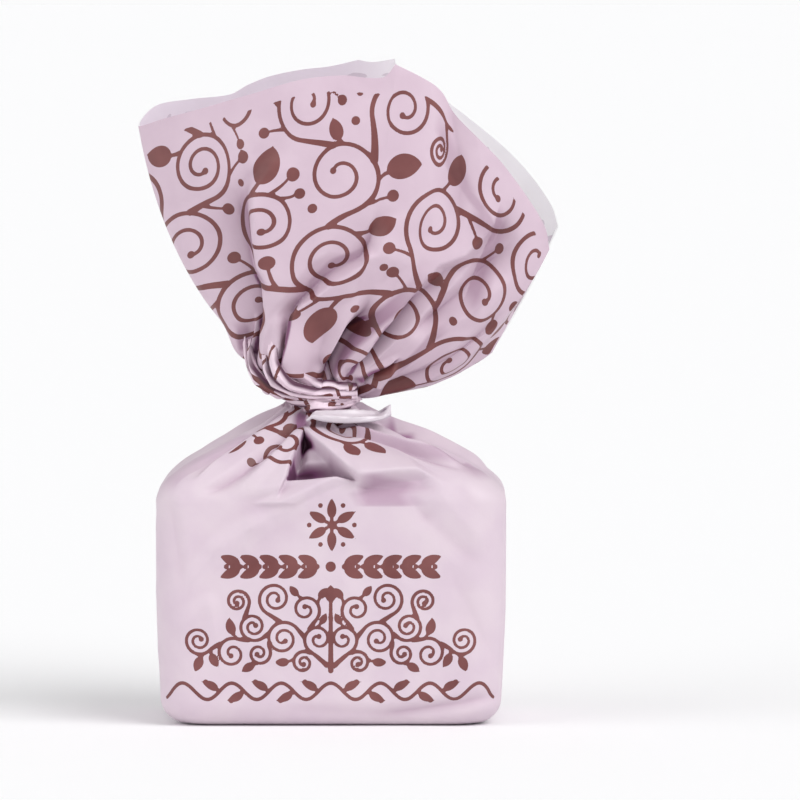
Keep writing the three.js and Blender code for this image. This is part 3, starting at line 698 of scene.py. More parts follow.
def grow(rnd, kind, host, size, turns):
    """discs, hosts: a motif growing from a host, and the places on it that can carry more."""
    point, heading, hand = host
    side = -hand if rnd.random() < 0.75 else hand
    start = heading + side * rnd.uniform(0.35, 0.9)
    if kind == "volute":
        length, bend = size * rnd.uniform(0.6, 1.6), -side * rnd.uniform(0.0, 0.5)
        lead, angles = stem(point, start, length, bend, STEM * 1.5, STEM)
        curl, curl_angles = volute(lead[-1, :2], angles[-1], size, side, rnd.uniform(*turns))
        discs = np.vstack([lead, curl])
        all_angles = np.concatenate([angles, curl_angles])
        count = len(lead) + int(len(curl) * 0.52)
        return discs, [(discs[k, :2], all_angles[k], side) for k in range(8, count, 6)]
    if kind == "leaf":
        lead, angles = stem(point, start, size * rnd.uniform(0.15, 0.4), side * 0.2, STEM, STEM * 0.8)
        blade = leaf(lead[-1, :2], angles[-1], size, size * 0.64, side * rnd.uniform(0.2, 0.7))
        return np.vstack([lead, blade]), []
    lead, angles = stem(point, start, size * 1.2, side * rnd.uniform(-0.4, 0.4), STEM * 0.8, STEM * 0.6)
    return np.vstack([lead, [*(lead[-1, :2] + direction(angles[-1]) * size * 0.3), size * 0.34]]), []


def vine(page, rnd, roots, plan, clear=CLEAR, turns=(1.6, 2.1)):
    hosts = [(np.array(p, float), h, rnd.choice((-1, 1))) for p, h in roots]
    for kind, low, high, tries in plan:
        for _ in range(tries):
            host = rnd.choice(hosts)
            discs, more = grow(rnd, kind, host, rnd.uniform(low, high), turns)
            apart = np.hypot(*(discs[:, :2] - host[0]).T) > NEAR_HOST
            if apart.any() and page.clearance(discs[apart]) > clear:
                page.add(discs)
                hosts += more
    return page.motifs


def fill(page, rnd, low, high, clear):
    """Loose dots where there's still room."""
    spots = page.spots[page.gap > low + clear]
    order = list(range(len(spots)))
    rnd.shuffle(order)
    for k in order:
        room = page.gap[tuple(page.cells(spots[k]))] - clear
        if room > low:
            page.add(np.array([[*spots[k], min(room, high)]]))


def print_distance(flat, motifs, far=1.0):
    """Distance to the nearest ink outline, negative inside, for points of the flat paper."""
    points = flat.reshape(-1, 2)
    distance = np.full(len(points), far)
    for discs in motifs:
        low = (discs[:, :2] - discs[:, 2:]).min(0) - far
        high = (discs[:, :2] + discs[:, 2:]).max(0) + far
        near = np.flatnonzero(((points > low) & (points < high)).all(1))
        for part in np.array_split(near, max(len(near) // AT_ONCE, 1)):
            gap = np.hypot(*(points[part, None, k] - discs[None, :, k] for k in (0, 1)))
            distance[part] = np.minimum(distance[part], (gap - discs[None, :, 2]).min(1))
    return distance.reshape(flat.shape[:-1])


# ---- Flat paper coordinates ----
FAN_CENTRE_Z = 29.3
LEFT_X, LEFT_Z = RIM[RIM[:, 0] == 180][0][[1, 3]]
FAN_LEFT = math.degrees(math.atan2(LEFT_Z - FAN_CENTRE_Z, LEFT_X - NECK_X))     # the left corner's direction
FAN_ROWS = slice(40, 80, 8)     # the flare's rows whose folds spread the print
NECK_RHO, SHOULDER_RHO = 5.2, 4.4       # radius of the unrolled flare and shoulders at the neck
FLARE_STRETCH, SHOULDER_STRETCH = 0.93, 0.9
FOLD_DEPTH = 1.15               # painted shade: a fold this far under its surroundings is painted the full fold colour
NARROW, WIDE, WIDE_SHADE = 9, 24, 0.22        # how many rows and columns the surroundings are, and the painted shade of wide folds
# How much painted shade darkens the inside, and how far the throat's floor drops below its lowest ring.
INSIDE_SHADE, THROAT_DROP = 0.45, 0.8
SHOULDER_PRINT = 23.3           # the print on the shoulders ends at this height
MARGIN, BACK_MARGIN, SIDE_MARGIN = 1.4, 1.1, 0.4    # unprinted paper along the sheet's edges
BACK_END, SIDE_START = 175, 338                     # degrees round the neck
PRINT_WINDOWS = [(262, 35), (92, 42)]               # printed parts of the shoulders: middle and half, in degrees
MM_PER_DEGREE = 0.12
POCKET_BARE = 0.3               # the pocket has no print where it is deeper
FRONT_PRINT_ROWS = 14           # rows of the shoulders that the front's print reaches


def fan_angles(rows):
    """Direction of each column in the unrolled flare, in degrees, falling from the right edge round."""
    untwisted = (DEGS - TWIST) % 360
    rim = rim_point(untwisted)
    plane = np.degrees(np.arctan2(rim[..., 2] - FAN_CENTRE_Z, rim[..., 0] - NECK_X))
    plane = np.where(untwisted < 180, 2 * FAN_LEFT - plane, plane)
    order = np.argsort(untwisted)
    folded = np.linalg.norm(np.roll(rows, -1, 1) - rows, axis=-1).mean(0)[order]
    smooth_rows = gaussian(folded, 30)
    steps = np.diff(plane[order], append=2 * plane[order][-1] - plane[order][-2])
    stretched = gaussian(steps * np.clip(folded / smooth_rows, 0.6, 2.2) ** 0.8, 4)
    stretched *= steps.sum() / stretched.sum()
    result = np.empty(COLUMNS)
    result[order] = plane[order][0] + np.concatenate([[0], np.cumsum(stretched)[:-1]])
    return result


def gaussian(values, width):
    """The values of a closed ring, smoothed."""
    return np.convolve(np.pad(values, 3 * width, "wrap"), gaussian_weights(width), "valid")


def row_distance(points):
    """Distance along each column from its first row."""
    steps = np.linalg.norm(np.diff(points, axis=0), axis=-1)
    return np.vstack([np.zeros(points.shape[1]), np.cumsum(steps, 0)])


# ---- Meshes ----
SLIVER = 0.04                   # the print's outline cuts no edge nearer to its end than this part


def cut_by_print(values, triangles, distance):
    """Splits triangles along the print's outline, with the values at the vertices: points and more."""
    inside = distance < 0
    flags = inside[triangles]
    count = flags.sum(1)
    plain = (count == 0) | (count == 3)
    mixed, mixed_flags, mixed_count = triangles[~plain], flags[~plain], count[~plain]
    odd = np.argmax(mixed_flags == (mixed_count == 1)[:, None], 1)
    rows = np.arange(len(mixed))
    a, b, c = (mixed[rows, (odd + k) % 3] for k in range(3))
    edges = np.sort(np.concatenate([np.stack([a, b], 1), np.stack([a, c], 1)]), 1)
    unique, where = np.unique(edges, axis=0, return_inverse=True)
    where = where.reshape(-1)
    d0, d1 = distance[unique[:, 0]], distance[unique[:, 1]]
    t = np.clip(d0 / (d0 - d1), SLIVER, 1 - SLIVER)[:, None]
    values = np.vstack([values, lerp(values[unique[:, 0]], values[unique[:, 1]], t)])
    p = len(distance) + where[: len(mixed)]
    q = len(distance) + where[len(mixed):]
    faces = np.concatenate([triangles[plain], np.stack([a, p, q], 1), np.stack([p, b, c], 1),
                            np.stack([p, c, q], 1)])
    return values, faces, np.concatenate([count[plain] == 3, inside[a], inside[b], inside[b]])


def make_piece(name, values, triangles, material_index, materials, slot, node):
    """values has a row for each vertex: point, normal, and its painted shade (0 to DARKEST), mostly how deep it
    lies in a fold.
    """
    points, normals, depth = values[:, :3], unit(values[:, 3:6]), values[:, 6]
    mesh = bpy.data.meshes.new(name)
    mesh.vertices.add(len(points))
    mesh.vertices.foreach_set("co", (points * MM).ravel())
    mesh.loops.add(len(triangles) * 3)
    mesh.loops.foreach_set("vertex_index", triangles.ravel().astype(np.int32))
    mesh.polygons.add(len(triangles))
    mesh.polygons.foreach_set("loop_start", np.arange(0, len(triangles) * 3, 3, dtype=np.int32))
    mesh.polygons.foreach_set("material_index", np.asarray(material_index, np.int32))
    for material in materials:
        mesh.materials.append(material)
    # The fold attribute carries each vertex's painted shade.
    mesh.attributes.new("fold", "FLOAT", "POINT").data.foreach_set("value", depth.astype(np.float32))
    mesh.update(calc_edges=True)
    mesh.shade_smooth()
    mesh.normals_split_custom_set_from_vertices(normals)
    mesh.validate()
    piece = bpy.data.objects.new(name, mesh)
    bpy.context.scene.collection.objects.link(piece)
    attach(piece, "root")
    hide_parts(node)
    return piece


# ---- Materials ----
CLOUDS, GRAIN, FIBRES = 260, 1500, 350        # noise scales of the colour and of the two bumps
GRAIN_STRENGTH, FIBRE_STRENGTH, BUMP_DEPTH = 0.25, 0.35, 0.00006
DEEP_SHADE, DARKEST = (70, 36, 56), 1.2             # the painted shade colour at a fold value of DARKEST


def linear(r, g, b):
    """A colour given as 0..255 display values."""
    values = np.array((r, g, b)) / 255
    return (*np.where(values <= 0.04045, values / 12.92, ((values + 0.055) / 1.055) ** 2.4), 1)


def new_material(name, base, roughness, specular, coat=0.0):
    material = bpy.data.materials.new(name)
    material.use_nodes = True
    shader = material.node_tree.nodes["Principled BSDF"]
    for socket, value in (("Base Color", linear(*base)), ("Roughness", roughness),
                          ("Specular IOR Level", specular), ("Coat Weight", coat)):
        shader.inputs[socket].default_value = value
    return material, material.node_tree, shader


def noise(tree, scale, detail, roughness=0.5):
    coords, texture = (tree.nodes.new("ShaderNode" + kind) for kind in ("TexCoord", "TexNoise"))
    for socket, value in (("Scale", scale), ("Detail", detail), ("Roughness", roughness)):
        texture.inputs[socket].default_value = value
    tree.links.new(coords.outputs["Object"], texture.inputs["Vector"])
    return texture.outputs["Fac"]


def colour_between(tree, factor, low, high):
    ramp = tree.nodes.new("ShaderNodeValToRGB")
    for element, colour, position in zip(ramp.color_ramp.elements, (low, high), (0.35, 0.65)):
        element.color, element.position = linear(*colour), position
    tree.links.new(factor, ramp.inputs["Fac"])
    return ramp.outputs["Color"]


def mixed_colour(tree, factor, low, high):
    mix = tree.nodes.new("ShaderNodeMix")
    mix.data_type = "RGBA"
    tree.links.new(factor, mix.inputs["Factor"])
    tree.links.new(low, mix.inputs["A"])
    mix.inputs["B"].default_value = linear(*high)
    return mix.outputs["Result"]


def add_bump(tree, shader, heights):
    """Joins bump layers: each is (height output, strength)."""
    normal = None
    for height, strength in heights:
        bump = tree.nodes.new("ShaderNodeBump")
        bump.inputs["Strength"].default_value, bump.inputs["Distance"].default_value = strength, BUMP_DEPTH
        tree.links.new(height, bump.inputs["Height"])
        if normal:
            tree.links.new(normal, bump.inputs["Normal"])
        normal = bump.outputs["Normal"]
    tree.links.new(normal, shader.inputs["Normal"])


def paper_material(name, low, high, fold_shade_colour, roughness=0.5, coat=0.0):
    """Paper with faint clouds from low to high, with painted shade: another colour in the folds, and a darker
    one in the deepest.
    """
    material, tree, shader = new_material(name, high, roughness, 0.45, coat)
    # The fold attribute is painted shade, mixed into the base colour.
    fold, darkest = (tree.nodes.new("ShaderNode" + kind) for kind in ("Attribute", "MapRange"))
    fold.attribute_name = "fold"
    darkest.inputs["From Min"].default_value, darkest.inputs["From Max"].default_value = 1, DARKEST
    tree.links.new(fold.outputs["Fac"], darkest.inputs["Value"])
    colour = colour_between(tree, noise(tree, CLOUDS, 3), low, high)
    colour = mixed_colour(tree, fold.outputs["Fac"], colour, fold_shade_colour)
    colour = mixed_colour(tree, darkest.outputs["Result"], colour, DEEP_SHADE)
    tree.links.new(colour, shader.inputs["Base Color"])
    add_bump(tree, shader, [(noise(tree, GRAIN, 6, 0.6), GRAIN_STRENGTH),
                            (noise(tree, FIBRES, 3), FIBRE_STRENGTH)])
    return material


# Each paper's third colour is painted shade: what it turns to in the folds.
LILAC = paper_material("lilac_paper", (209, 191, 204), (214, 198, 208), (148, 98, 136))
# Painted shade: the flare's paper is a darker copy of the same lilac, with a deeper colour in its folds.
SHADED_FLARE_LILAC = paper_material("lilac_flare_shaded", (203, 180, 195), (209, 187, 201), (126, 79, 112))
# Painted light: the strands' paper is a lighter copy of the same lilac; its darkest colour goes on their painted
# edge shade.
LIT_STRAND_LILAC = paper_material("lilac_strands_lit", (233, 210, 224), (240, 219, 232), (92, 50, 76))
INK = paper_material("brown_ink", (108, 57, 57), (124, 72, 71), (72, 32, 38), 0.42)
# The inside's pale colour is left showing on the right as painted light; elsewhere painted shade darkens it.
INSIDE = paper_material("paper_inside", (250, 248, 250), (253, 251, 253), (182, 150, 180), 0.55)
SHOWN_THROUGH = paper_material("shown_through", (226, 216, 225), (230, 221, 229), (160, 134, 156), 0.55)
LINING = paper_material("lining_paper", (212, 202, 211), (225, 216, 223), (128, 112, 130), 0.28, 0.25)

# ---- The wrapper's rows, from the base up to the rim ----
sections = [section_rows("wall", WALL_ROWS), section_rows("shoulder", SHOULDER_ROWS),
            section_rows("neck", NECK_ROWS), section_rows("flare", FLARE_ROWS)]
outside, smooth = (np.concatenate([sections[0][k]] + [rows[k][1:] for rows in sections[1:]]) for k in (0, 1))
outside = smooth + np.stack([blurred((outside - smooth)[..., k], 1) for k in range(3)], -1)
outside_normals = grid_normals(outside)
relief = ((outside - smooth) * outside_normals).sum(-1)
# Painted shade in the folds: the deeper a point lies under its surroundings, the darker its colour is painted.
narrow_folds, wide_folds = (np.clip((blurred(relief, width) - relief) / FOLD_DEPTH, 0, 1)
                            for width in (NARROW, WIDE))
hollow = np.maximum(narrow_folds**1.2, WIDE_SHADE * wide_folds)
SHOULDER_ROW = WALL_ROWS - 1
NECK_ROW = SHOULDER_ROW + SHOULDER_ROWS - 1
FLARE_ROW = NECK_ROW + NECK_ROWS - 1


def darken(first_row, rows, shade):
    """Paints shade into the folds of some rows, at least as dark as shade(deg, share) says."""
    area = slice(first_row, first_row + rows)
    hollow[area] = np.maximum(hollow[area], shade(*places(rows)))


def shade_amount(shades, deg, share):
    """How dark the shades make the paper: flat in the middle of each, with short soft edges."""
    total = np.zeros(deg.shape)
    for c in shades:
        strength, part = crease_part(c, deg, share)
        total = np.maximum(total, c.height * strength * np.clip(1.8 * part, 0, 1))
    return total


def darken_pocket():
    """Painted shade in the pocket: darkest in its upper corner and in a band along its base."""
    deg, share = places(SHOULDER_ROWS)
    corner = DARKEST * smoothstep(0.58, 0.64, share)
    band = 1.1 * (1 - smoothstep(0.44, 0.5, share)) * (1 - smoothstep(262, 277, deg))
    left = 0.8 * (1 - smoothstep(253.5, 258, deg))
    shade = np.maximum(np.maximum(corner, band), np.maximum(left, 0.04))
    rows = slice(SHOULDER_ROW, NECK_ROW + 1)
    hollow[rows] = lerp(hollow[rows], shade, np.clip(-pocket_relief(deg, share) / 0.4, 0, 1))


darken(SHOULDER_ROW, SHOULDER_ROWS, lambda deg, share: shade_amount(SHOULDER_SHADES, deg, share))
darken(FLARE_ROW, FLARE_ROWS, lambda deg, share: shade_amount(FLARE_SHADES, flare_deg(deg, share), share))
darken_pocket()


# ---- What is printed on it ----
def scroll_plan(scale):
    return [(kind, low * scale, high * scale, tries) for kind, low, high, tries in [
        ("volute", 3.1, 3.9, 2500), ("leaf", 3.6, 4.2, 600), ("volute", 2.4, 3.0, 2500),
        ("leaf", 3.0, 3.8, 2500), ("volute", 1.6, 2.1, 2500), ("leaf", 2.2, 3.0, 2500),
        ("berry", 1.4, 2.0, 1500)]]


FLARE_SEED, SHOULDER_SEED, PANEL_SEED = 7, 3, 5
FAN_REACH, FAN_TURN = (2.6, 40), (14, 234)      # the part of the flat paper that the flare's print covers
RING_REACH = (4.2, 12.5)                        # and the shoulders' print, seen from the neck
PANEL_CLEAR, PANEL_WEIGHT = 0.36, 0.82
PANEL_PLAN = [("volute", 1.3, 1.6, 1500), ("volute", 1.0, 1.25, 2500), ("leaf", 1.5, 2.0, 800),
              ("volute", 0.7, 0.9, 1500), ("leaf", 1.0, 1.4, 1500), ("berry", 0.8, 1.1, 1000)]


def spokes(first, last, step, radius):
    """Places for stems to leave from, all round the neck."""
    angles = [math.radians(turn) for turn in range(first, last, step)]
    return [(radius * direction(angle), angle) for angle in angles]


def flare_motifs():
    def in_fan(x, y):
        rho, turn = np.hypot(x, y), np.degrees(np.arctan2(y, x)) % 360
        return between(rho, *FAN_REACH) & between(turn, *FAN_TURN)
    rnd = random.Random(FLARE_SEED)
    page = Page((-41, -34), (41, 41), in_fan)
    vine(page, rnd, spokes(26, 232, 16, 3.2), scroll_plan(0.9))
    fill(page, rnd, 0.34, 0.5, 0.85)
    return page.motifs


FLARE_MOTIFS = flare_motifs()


def shoulder_motifs():
    def near_neck(x, y):
        return between(np.hypot(x, y), *RING_REACH)
    rnd = random.Random(SHOULDER_SEED)
    page = Page((-13, -13), (13, 13), near_neck)
    vine(page, rnd, spokes(10, 370, 30, 4.6), scroll_plan(0.72))
    return page.motifs


def mirrored(discs):
    return [discs, discs * (-1, 1, 1)]


def rosette(centre, size, petals=6):
    motifs = [np.array([[*centre, size * 0.15]])]
    for k in range(petals):
        turn = math.pi / 2 + 2 * math.pi * k / petals
        motifs.append(leaf(centre + direction(turn) * size * 0.16, turn, size * 0.84, size * 0.34, 0))
        tip = centre + size * 0.82 * direction(turn + math.pi / petals)
        motifs.append(np.array([[*tip, size * 0.09]]))
    return motifs


def garland(z, half, leaf_length, leaf_width, spacing):
    """Pairs of leaves that lean outwards from a bead in the middle."""
    motifs = [np.array([[0, z, leaf_width * 0.5]])]
    x = spacing * 0.62
    while x + leaf_length * 0.8 < half:
        for lean in (0.62, -0.62):
            motifs += mirrored(leaf(np.array((x, z)), lean, leaf_length, leaf_width, -lean * 0.5))
        motifs += mirrored(np.array([[x + spacing * 0.8, z, leaf_width * 0.24]]))
        x += spacing
    return motifs


def scroll_panel():
    """Scrolls that grow to both sides from a stem in the middle, the same on both sides."""
    def in_panel(x, z):
        return (x > 0.25) & (x < lerp(13.2, 9.4, (z > 8.9))) & (z > 5.1) & (z < 13.0)
    rnd = random.Random(PANEL_SEED)
    page = Page((0, 4), (14, 14), in_panel)
    vine(page, rnd, [((0.3, 5.6), 0.35), ((0.3, 9.4), 0.5)], PANEL_PLAN, PANEL_CLEAR, (1.4, 1.9))
    motifs = [np.column_stack([np.zeros(50), np.linspace(5.2, 11.6, 50), np.linspace(0.26, 0.16, 50)]),
              leaf(np.array((0, 11.4)), math.pi / 2, 1.7, 1.0, 0)]
    for discs in page.motifs:
        motifs += mirrored(discs * (1, 1, PANEL_WEIGHT))
    return motifs


def wave_border(z, half, height, wave):
    """A waving stem with a leaf and a dot in each bend."""
    x = np.arange(0, half, STEP * 0.7)
    line = np.column_stack([x, z + height * np.cos(2 * math.pi * x / wave), np.full(len(x), 0.17)])
    motifs = mirrored(line)
    for k in range(1, int(2 * half / wave)):
        side = 1 if k % 2 else -1
        middle = k * wave / 2
        foot = np.array((middle - wave * 0.25, z))
        motifs += mirrored(leaf(foot, side * 0.75, wave * 0.42, wave * 0.17, -side * 0.5))
        motifs += mirrored(np.array([[middle + wave * 0.02, z + side * height * 1.15, 0.24]]))
    return motifs


def front_motifs():
    return (rosette(np.array((0.1, 18.5)), 2.5) + garland(14.7, 11.0, 2.3, 0.95, 1.75)
            + scroll_panel() + wave_border(3.3, 15.8, 0.75, 4.6))


def printed_flare(distance):
    """Prints the flare and the neck, up to the unprinted margin along the sheet's edge."""
    turn = np.radians(fan_angles(outside[FLARE_ROW:][FAN_ROWS]))[None, :]
    reach = row_distance(smooth[NECK_ROW:])
    rho = NECK_RHO + FLARE_STRETCH * (reach - reach[NECK_ROWS - 1])
    flat = np.stack([rho * np.cos(turn), rho * np.sin(turn)], -1)
    ink = print_distance(flat, FLARE_MOTIFS)
    untwisted = (DEGS - TWIST) % 360
    margin = np.where(untwisted < SIDE_START, MARGIN, SIDE_MARGIN)
    margin = np.where(untwisted < BACK_END, BACK_MARGIN, margin)
    margin = margin[None, :] - (reach[-1] - reach)
    distance[NECK_ROW:] = np.minimum(distance[NECK_ROW:], np.maximum(ink, margin))


def printed_shoulder(distance):
    turn = np.radians(DEGS)[None, :]
    rows = slice(SHOULDER_ROW, NECK_ROW + 1)
    reach = row_distance(smooth[rows])
    rho = SHOULDER_RHO + (reach[-1] - reach) * SHOULDER_STRETCH
    flat = np.stack([rho * np.cos(turn), rho * np.sin(turn)], -1)
    ink = print_distance(flat, shoulder_motifs())
    deg, share = places(SHOULDER_ROWS)
    front, back = (np.abs(signed_turn(deg - middle)) - half for middle, half in PRINT_WINDOWS)
    bare = np.maximum(SHOULDER_PRINT - smooth[rows][..., 2], -pocket_relief(deg, share) - POCKET_BARE)
    bare = np.maximum(bare, np.minimum(front, back) * MM_PER_DEGREE)
    distance[rows] = np.minimum(distance[rows], np.maximum(ink, bare))


def printed_front(distance):
    """Prints the front wall: width along the wall from the middle of the front, and height."""
    middle = COLUMNS * 3 // 4
    level = smooth[WALL_ROWS // 2]
    run = np.cumsum(np.linalg.norm(level - np.roll(level, 1, 0), axis=-1))
    across = run - run[middle] + level[middle, 0]
    area = (slice(0, SHOULDER_ROW + FRONT_PRINT_ROWS), slice(COLUMNS // 2, COLUMNS))
    flat = np.stack(np.broadcast_arrays(across[None, area[1]], smooth[..., 2][area]), -1)
    distance[area] = np.minimum(distance[area], print_distance(flat, front_motifs()))


ink_distance = np.full(outside.shape[:2], 1.0)
printed_flare(ink_distance)
printed_shoulder(ink_distance)
printed_front(ink_distance)
ALL = np.arange(COLUMNS)


def vertex_values(points, normals, depth):
    return np.concatenate([points, normals, depth[..., None]], -1).reshape(-1, 7)


def strip(first_row, last_row, columns, closed):
    """Vertex values, triangles and ink flags of a part of the wrapper's outside."""
    area = (slice(first_row, last_row + 1), columns)
    return cut_by_print(vertex_values(outside[area], outside_normals[area], hollow[area]),
                        grid_triangles(last_row + 1 - first_row, len(columns), closed),
                        ink_distance[area].reshape(-1))


def walls_piece():
    values, faces, ink = strip(0, SHOULDER_ROW, ALL, True)
    base = np.stack([np.full(COLUMNS, len(values)), np.roll(ALL, -1), ALL], -1)
    values = np.vstack([values, (0, 0, 0, 0, 0, -1, 0)])
    make_piece("wrapper_walls", values, np.vstack([faces, base]),
               np.concatenate([ink, np.zeros(COLUMNS)]), [LILAC, INK], "paper", "wrapper")


def outside_piece(name, first_row, last_row, columns, closed, paper):
    make_piece(name, *strip(first_row, last_row, columns, closed), [paper, INK], "paper", "wrapper")


def inside_piece():
    """The flare's inside, its edge and the throat. The print shows through faintly."""
    rows = np.arange(len(outside) - 1, FLARE_ROW + THROAT_ROW, -INNER_STEP)
    normals = outside_normals[rows]
    points = outside[rows] - normals * PAPER
    # Painted shade on the inside: darker where the outside has ridges, and darker all over by INSIDE_SHADE
    # except on the right towards the rim, where it keeps its pale colour as painted light.
    painted_inside_shade = np.clip((relief - blurred(relief, NARROW))[rows] / FOLD_DEPTH, 0, 1)
    right = 1 - smoothstep(60, 100, np.abs(signed_turn(DEGS - TWIST - 20)))
    height = smoothstep(0.3, 0.8, rows / len(outside))[:, None]
    painted_inside_shade = np.maximum(painted_inside_shade, INSIDE_SHADE * (1 - right * height))
    values, faces, ink = cut_by_print(vertex_values(points, -normals, painted_inside_shade),
                                      grid_triangles(len(rows), COLUMNS), ink_distance[rows].reshape(-1))
    last = (len(rows) - 1) * COLUMNS
    following = np.roll(ALL, -1)
    throat = points[-1].mean(0) - (0, 0, THROAT_DROP)
    pole, rim = len(values), len(values) + 1
    inner_rim = rim + COLUMNS
    upwards, flat = unit(outside[-1] - outside[-2]), np.zeros(COLUMNS)
    # Painted shade: the throat's middle gets the full fold colour, so its floor darkens towards it.
    values = np.vstack([values, (*throat, 0, 0, 1, 1), vertex_values(outside[-1], upwards, flat),
                        vertex_values(points[0], upwards, flat)])
    floor = np.stack([last + ALL, last + following, np.full(COLUMNS, pole)], -1)
    edge = np.vstack([np.stack([rim + ALL, rim + following, inner_rim + following], -1),
                      np.stack([rim + ALL, inner_rim + following, inner_rim + ALL], -1)])
    make_piece("wrapper_inside", values, np.vstack([faces, floor, edge]),
               np.concatenate([ink, np.zeros(3 * COLUMNS)]), [INSIDE, SHOWN_THROUGH], "paper", "wrapper")


walls_piece()
outside_piece("wrapper_shoulders", SHOULDER_ROW, FLARE_ROW, ALL, True, LILAC)
half = np.arange(COLUMNS // 2 + 1) + round(COLUMNS * TWIST / 360)
outside_piece("wrapper_flare_back", FLARE_ROW, len(outside) - 1, half % COLUMNS, False, SHADED_FLARE_LILAC)
outside_piece("wrapper_flare_front", FLARE_ROW, len(outside) - 1, (half + COLUMNS // 2) % COLUMNS, False,
              SHADED_FLARE_LILAC)
inside_piece()


# ---- The strands of paper that the twist pulls round the front of the neck ----
FRONT_ROWS = slice(NECK_ROW - 50, FLARE_ROW + 76)
FRONT_POINTS = outside[FRONT_ROWS].reshape(-1, 3)
FRONT_NORMALS = outside_normals[FRONT_ROWS].reshape(-1, 3)


def behind(x, z, foremost, reach=0.55):
    """The wrapper's points behind each x and z of the front view, and the direction out of it there.

    foremost is 1 for the foremost point nearby and 0 for the middle of the points nearby.
    """
    points, directions = [], []
    for x0, z0, part in zip(np.ravel(x), np.ravel(z), foremost):
        away = np.hypot(FRONT_POINTS[:, 0] - x0, FRONT_POINTS[:, 2] - z0)
        away += np.clip(FRONT_POINTS[:, 1] - 1, 0, None)
        near = away < max(reach, away.min() + 0.1)
        depth = FRONT_POINTS[near, 1]
        points.append((x0, lerp(np.sort(depth)[:max(len(depth) // 2, 1)].mean(), depth.min(), part), z0))
        directions.append(FRONT_NORMALS[near & (FRONT_POINTS[:, 1] < 1.5)].mean(0))
    return np.array(points), np.array(directions)


def smooth_path(stations, count):
    """Values along a smooth curve through the stations."""
    stations = np.array(stations, float)
    slopes = np.gradient(stations, axis=0)
    t = np.linspace(0, len(stations) - 1, count)
    k = np.minimum(t.astype(int), len(stations) - 2)
    return hermite(stations[k], stations[k + 1], slopes[k], slopes[k + 1], (t - k)[:, None])


def smooth_line(values, width):
    """Each column of values smoothed along the line."""
    padded = np.pad(values, ((3 * width, 3 * width), (0, 0)), "edge")
    return np.stack([np.convolve(column, gaussian_weights(width), "valid") for column in padded.T], -1)


def strand_rings(width, lift, stations):
    """Rings of a flattened pleat with a crest near its upper edge, sunk into the paper at both ends."""
    count, around = STRAND_RINGS
    x, z = smooth_path(stations, count).T
    along = np.linspace(0, 1, count)
    ends = smoothstep(0, STRAND_FADE, along)
    line, outward = behind(x, z, ends)
    line[:, 1] = smooth_line(line[:, 1:2], STRAND_SMOOTHING)[:, 0]
    outward = unit(smooth_line(outward, STRAND_SMOOTHING))
    line = line + outward * lerp(-STRAND_SINK, lift, ends)[:, None]
    line[:, 1] += STRAND_TUCK * smoothstep(0.88, 1, along)
    ahead = unit(np.gradient(line, axis=0))
    side = unit(np.cross(ahead, outward))
    turn = 2 * np.pi * np.arange(around) / around
    across = np.cos(turn)
    crest = np.interp(across, [-1, -STRAND_CREST, 1], [0, 1, 0]) ** 0.8 * STRAND_HEIGHT
    raised = np.where(turn <= np.pi, crest, STRAND_UNDER * np.sin(turn))
    wrinkle = 0.09 * tent((along[:, None] * 5 + across * 1.4) % 1 - 0.5, 0.35, 0.15) * (turn <= np.pi)
    wrinkle = wrinkle + 0.05 * np.sin(9 * across + 4 * np.sin(8 * along[:, None]))
    breadth, size = lerp(0.7, 1, ends)[:, None], lerp(0.3, 1, ends)[:, None]
    return (line[:, None] + side[:, None] * (breadth * across * width / 2)[..., None]
            + outward[:, None] * (size * raised + wrinkle * size)[..., None])


def strand_marks(rnd, length, width):
    """The print as it shows on a strand: strokes along it and a few across."""
    marks, at = [], rnd.uniform(1.5, 4)
    while at < length - 1:
        start = (at, rnd.uniform(-0.3, 0.3) * width)
        if rnd.random() < 0.35:
            start, heading = (at, -width * 0.6), rnd.uniform(0.8, 1.3)
            marks.append(stem(start, heading, width * 1.5, rnd.uniform(-0.6, 0.6), 0.16, 0.2)[0])
        else:
            heading, run = rnd.uniform(-0.2, 0.2), rnd.uniform(1.2, 2.8)
            marks.append(stem(start, heading, run, rnd.uniform(-0.3, 0.3), 0.12, 0.34)[0])
        at += rnd.uniform(2.2, 3.8)
    return marks


def twist_piece():
    """All the strands as one piece."""
    rows, columns = STRAND_RINGS
    across = np.cos(2 * np.pi * np.arange(columns) / columns)
    rnd = random.Random(STRAND_SEED)
    parts, faces = [], []
    for width, lift, stations in STRANDS:
        rings = strand_rings(width, lift, stations)
        reach = row_distance(rings)[:, columns // 4, None]
        flat = np.stack(np.broadcast_arrays(reach, across * width / 2), -1)
        ink = print_distance(flat, strand_marks(rnd, reach[-1, 0], width))
        ink[:, np.arange(columns) > columns / 2] = 1.0
        along = np.linspace(0, 1, rows)[:, None]
        # Painted shade: the strand is darker along both edges, between the strands, and at its tip where it
        # comes out of the paper.
        edges = STRAND_EDGE_SHADE * smoothstep(0.55, 0.95, np.abs(across)) * smoothstep(0.12, 0.42, along)
        edges = np.maximum(edges, STRAND_TIP_SHADE * (1 - smoothstep(0.1, 0.45, along)))
        values = vertex_values(rings, grid_normals(rings), edges)
        cut, triangles, flags = cut_by_print(values, grid_triangles(rows, columns), ink.ravel())
        faces.append((triangles + sum(len(part) for part in parts), flags))
        parts.append(cut)
    make_piece("wrapper_twist", np.vstack(parts), np.vstack([f[0] for f in faces]),
               np.concatenate([f[1] for f in faces]), [LIT_STRAND_LILAC, INK], "paper", "wrapper")


twist_piece()


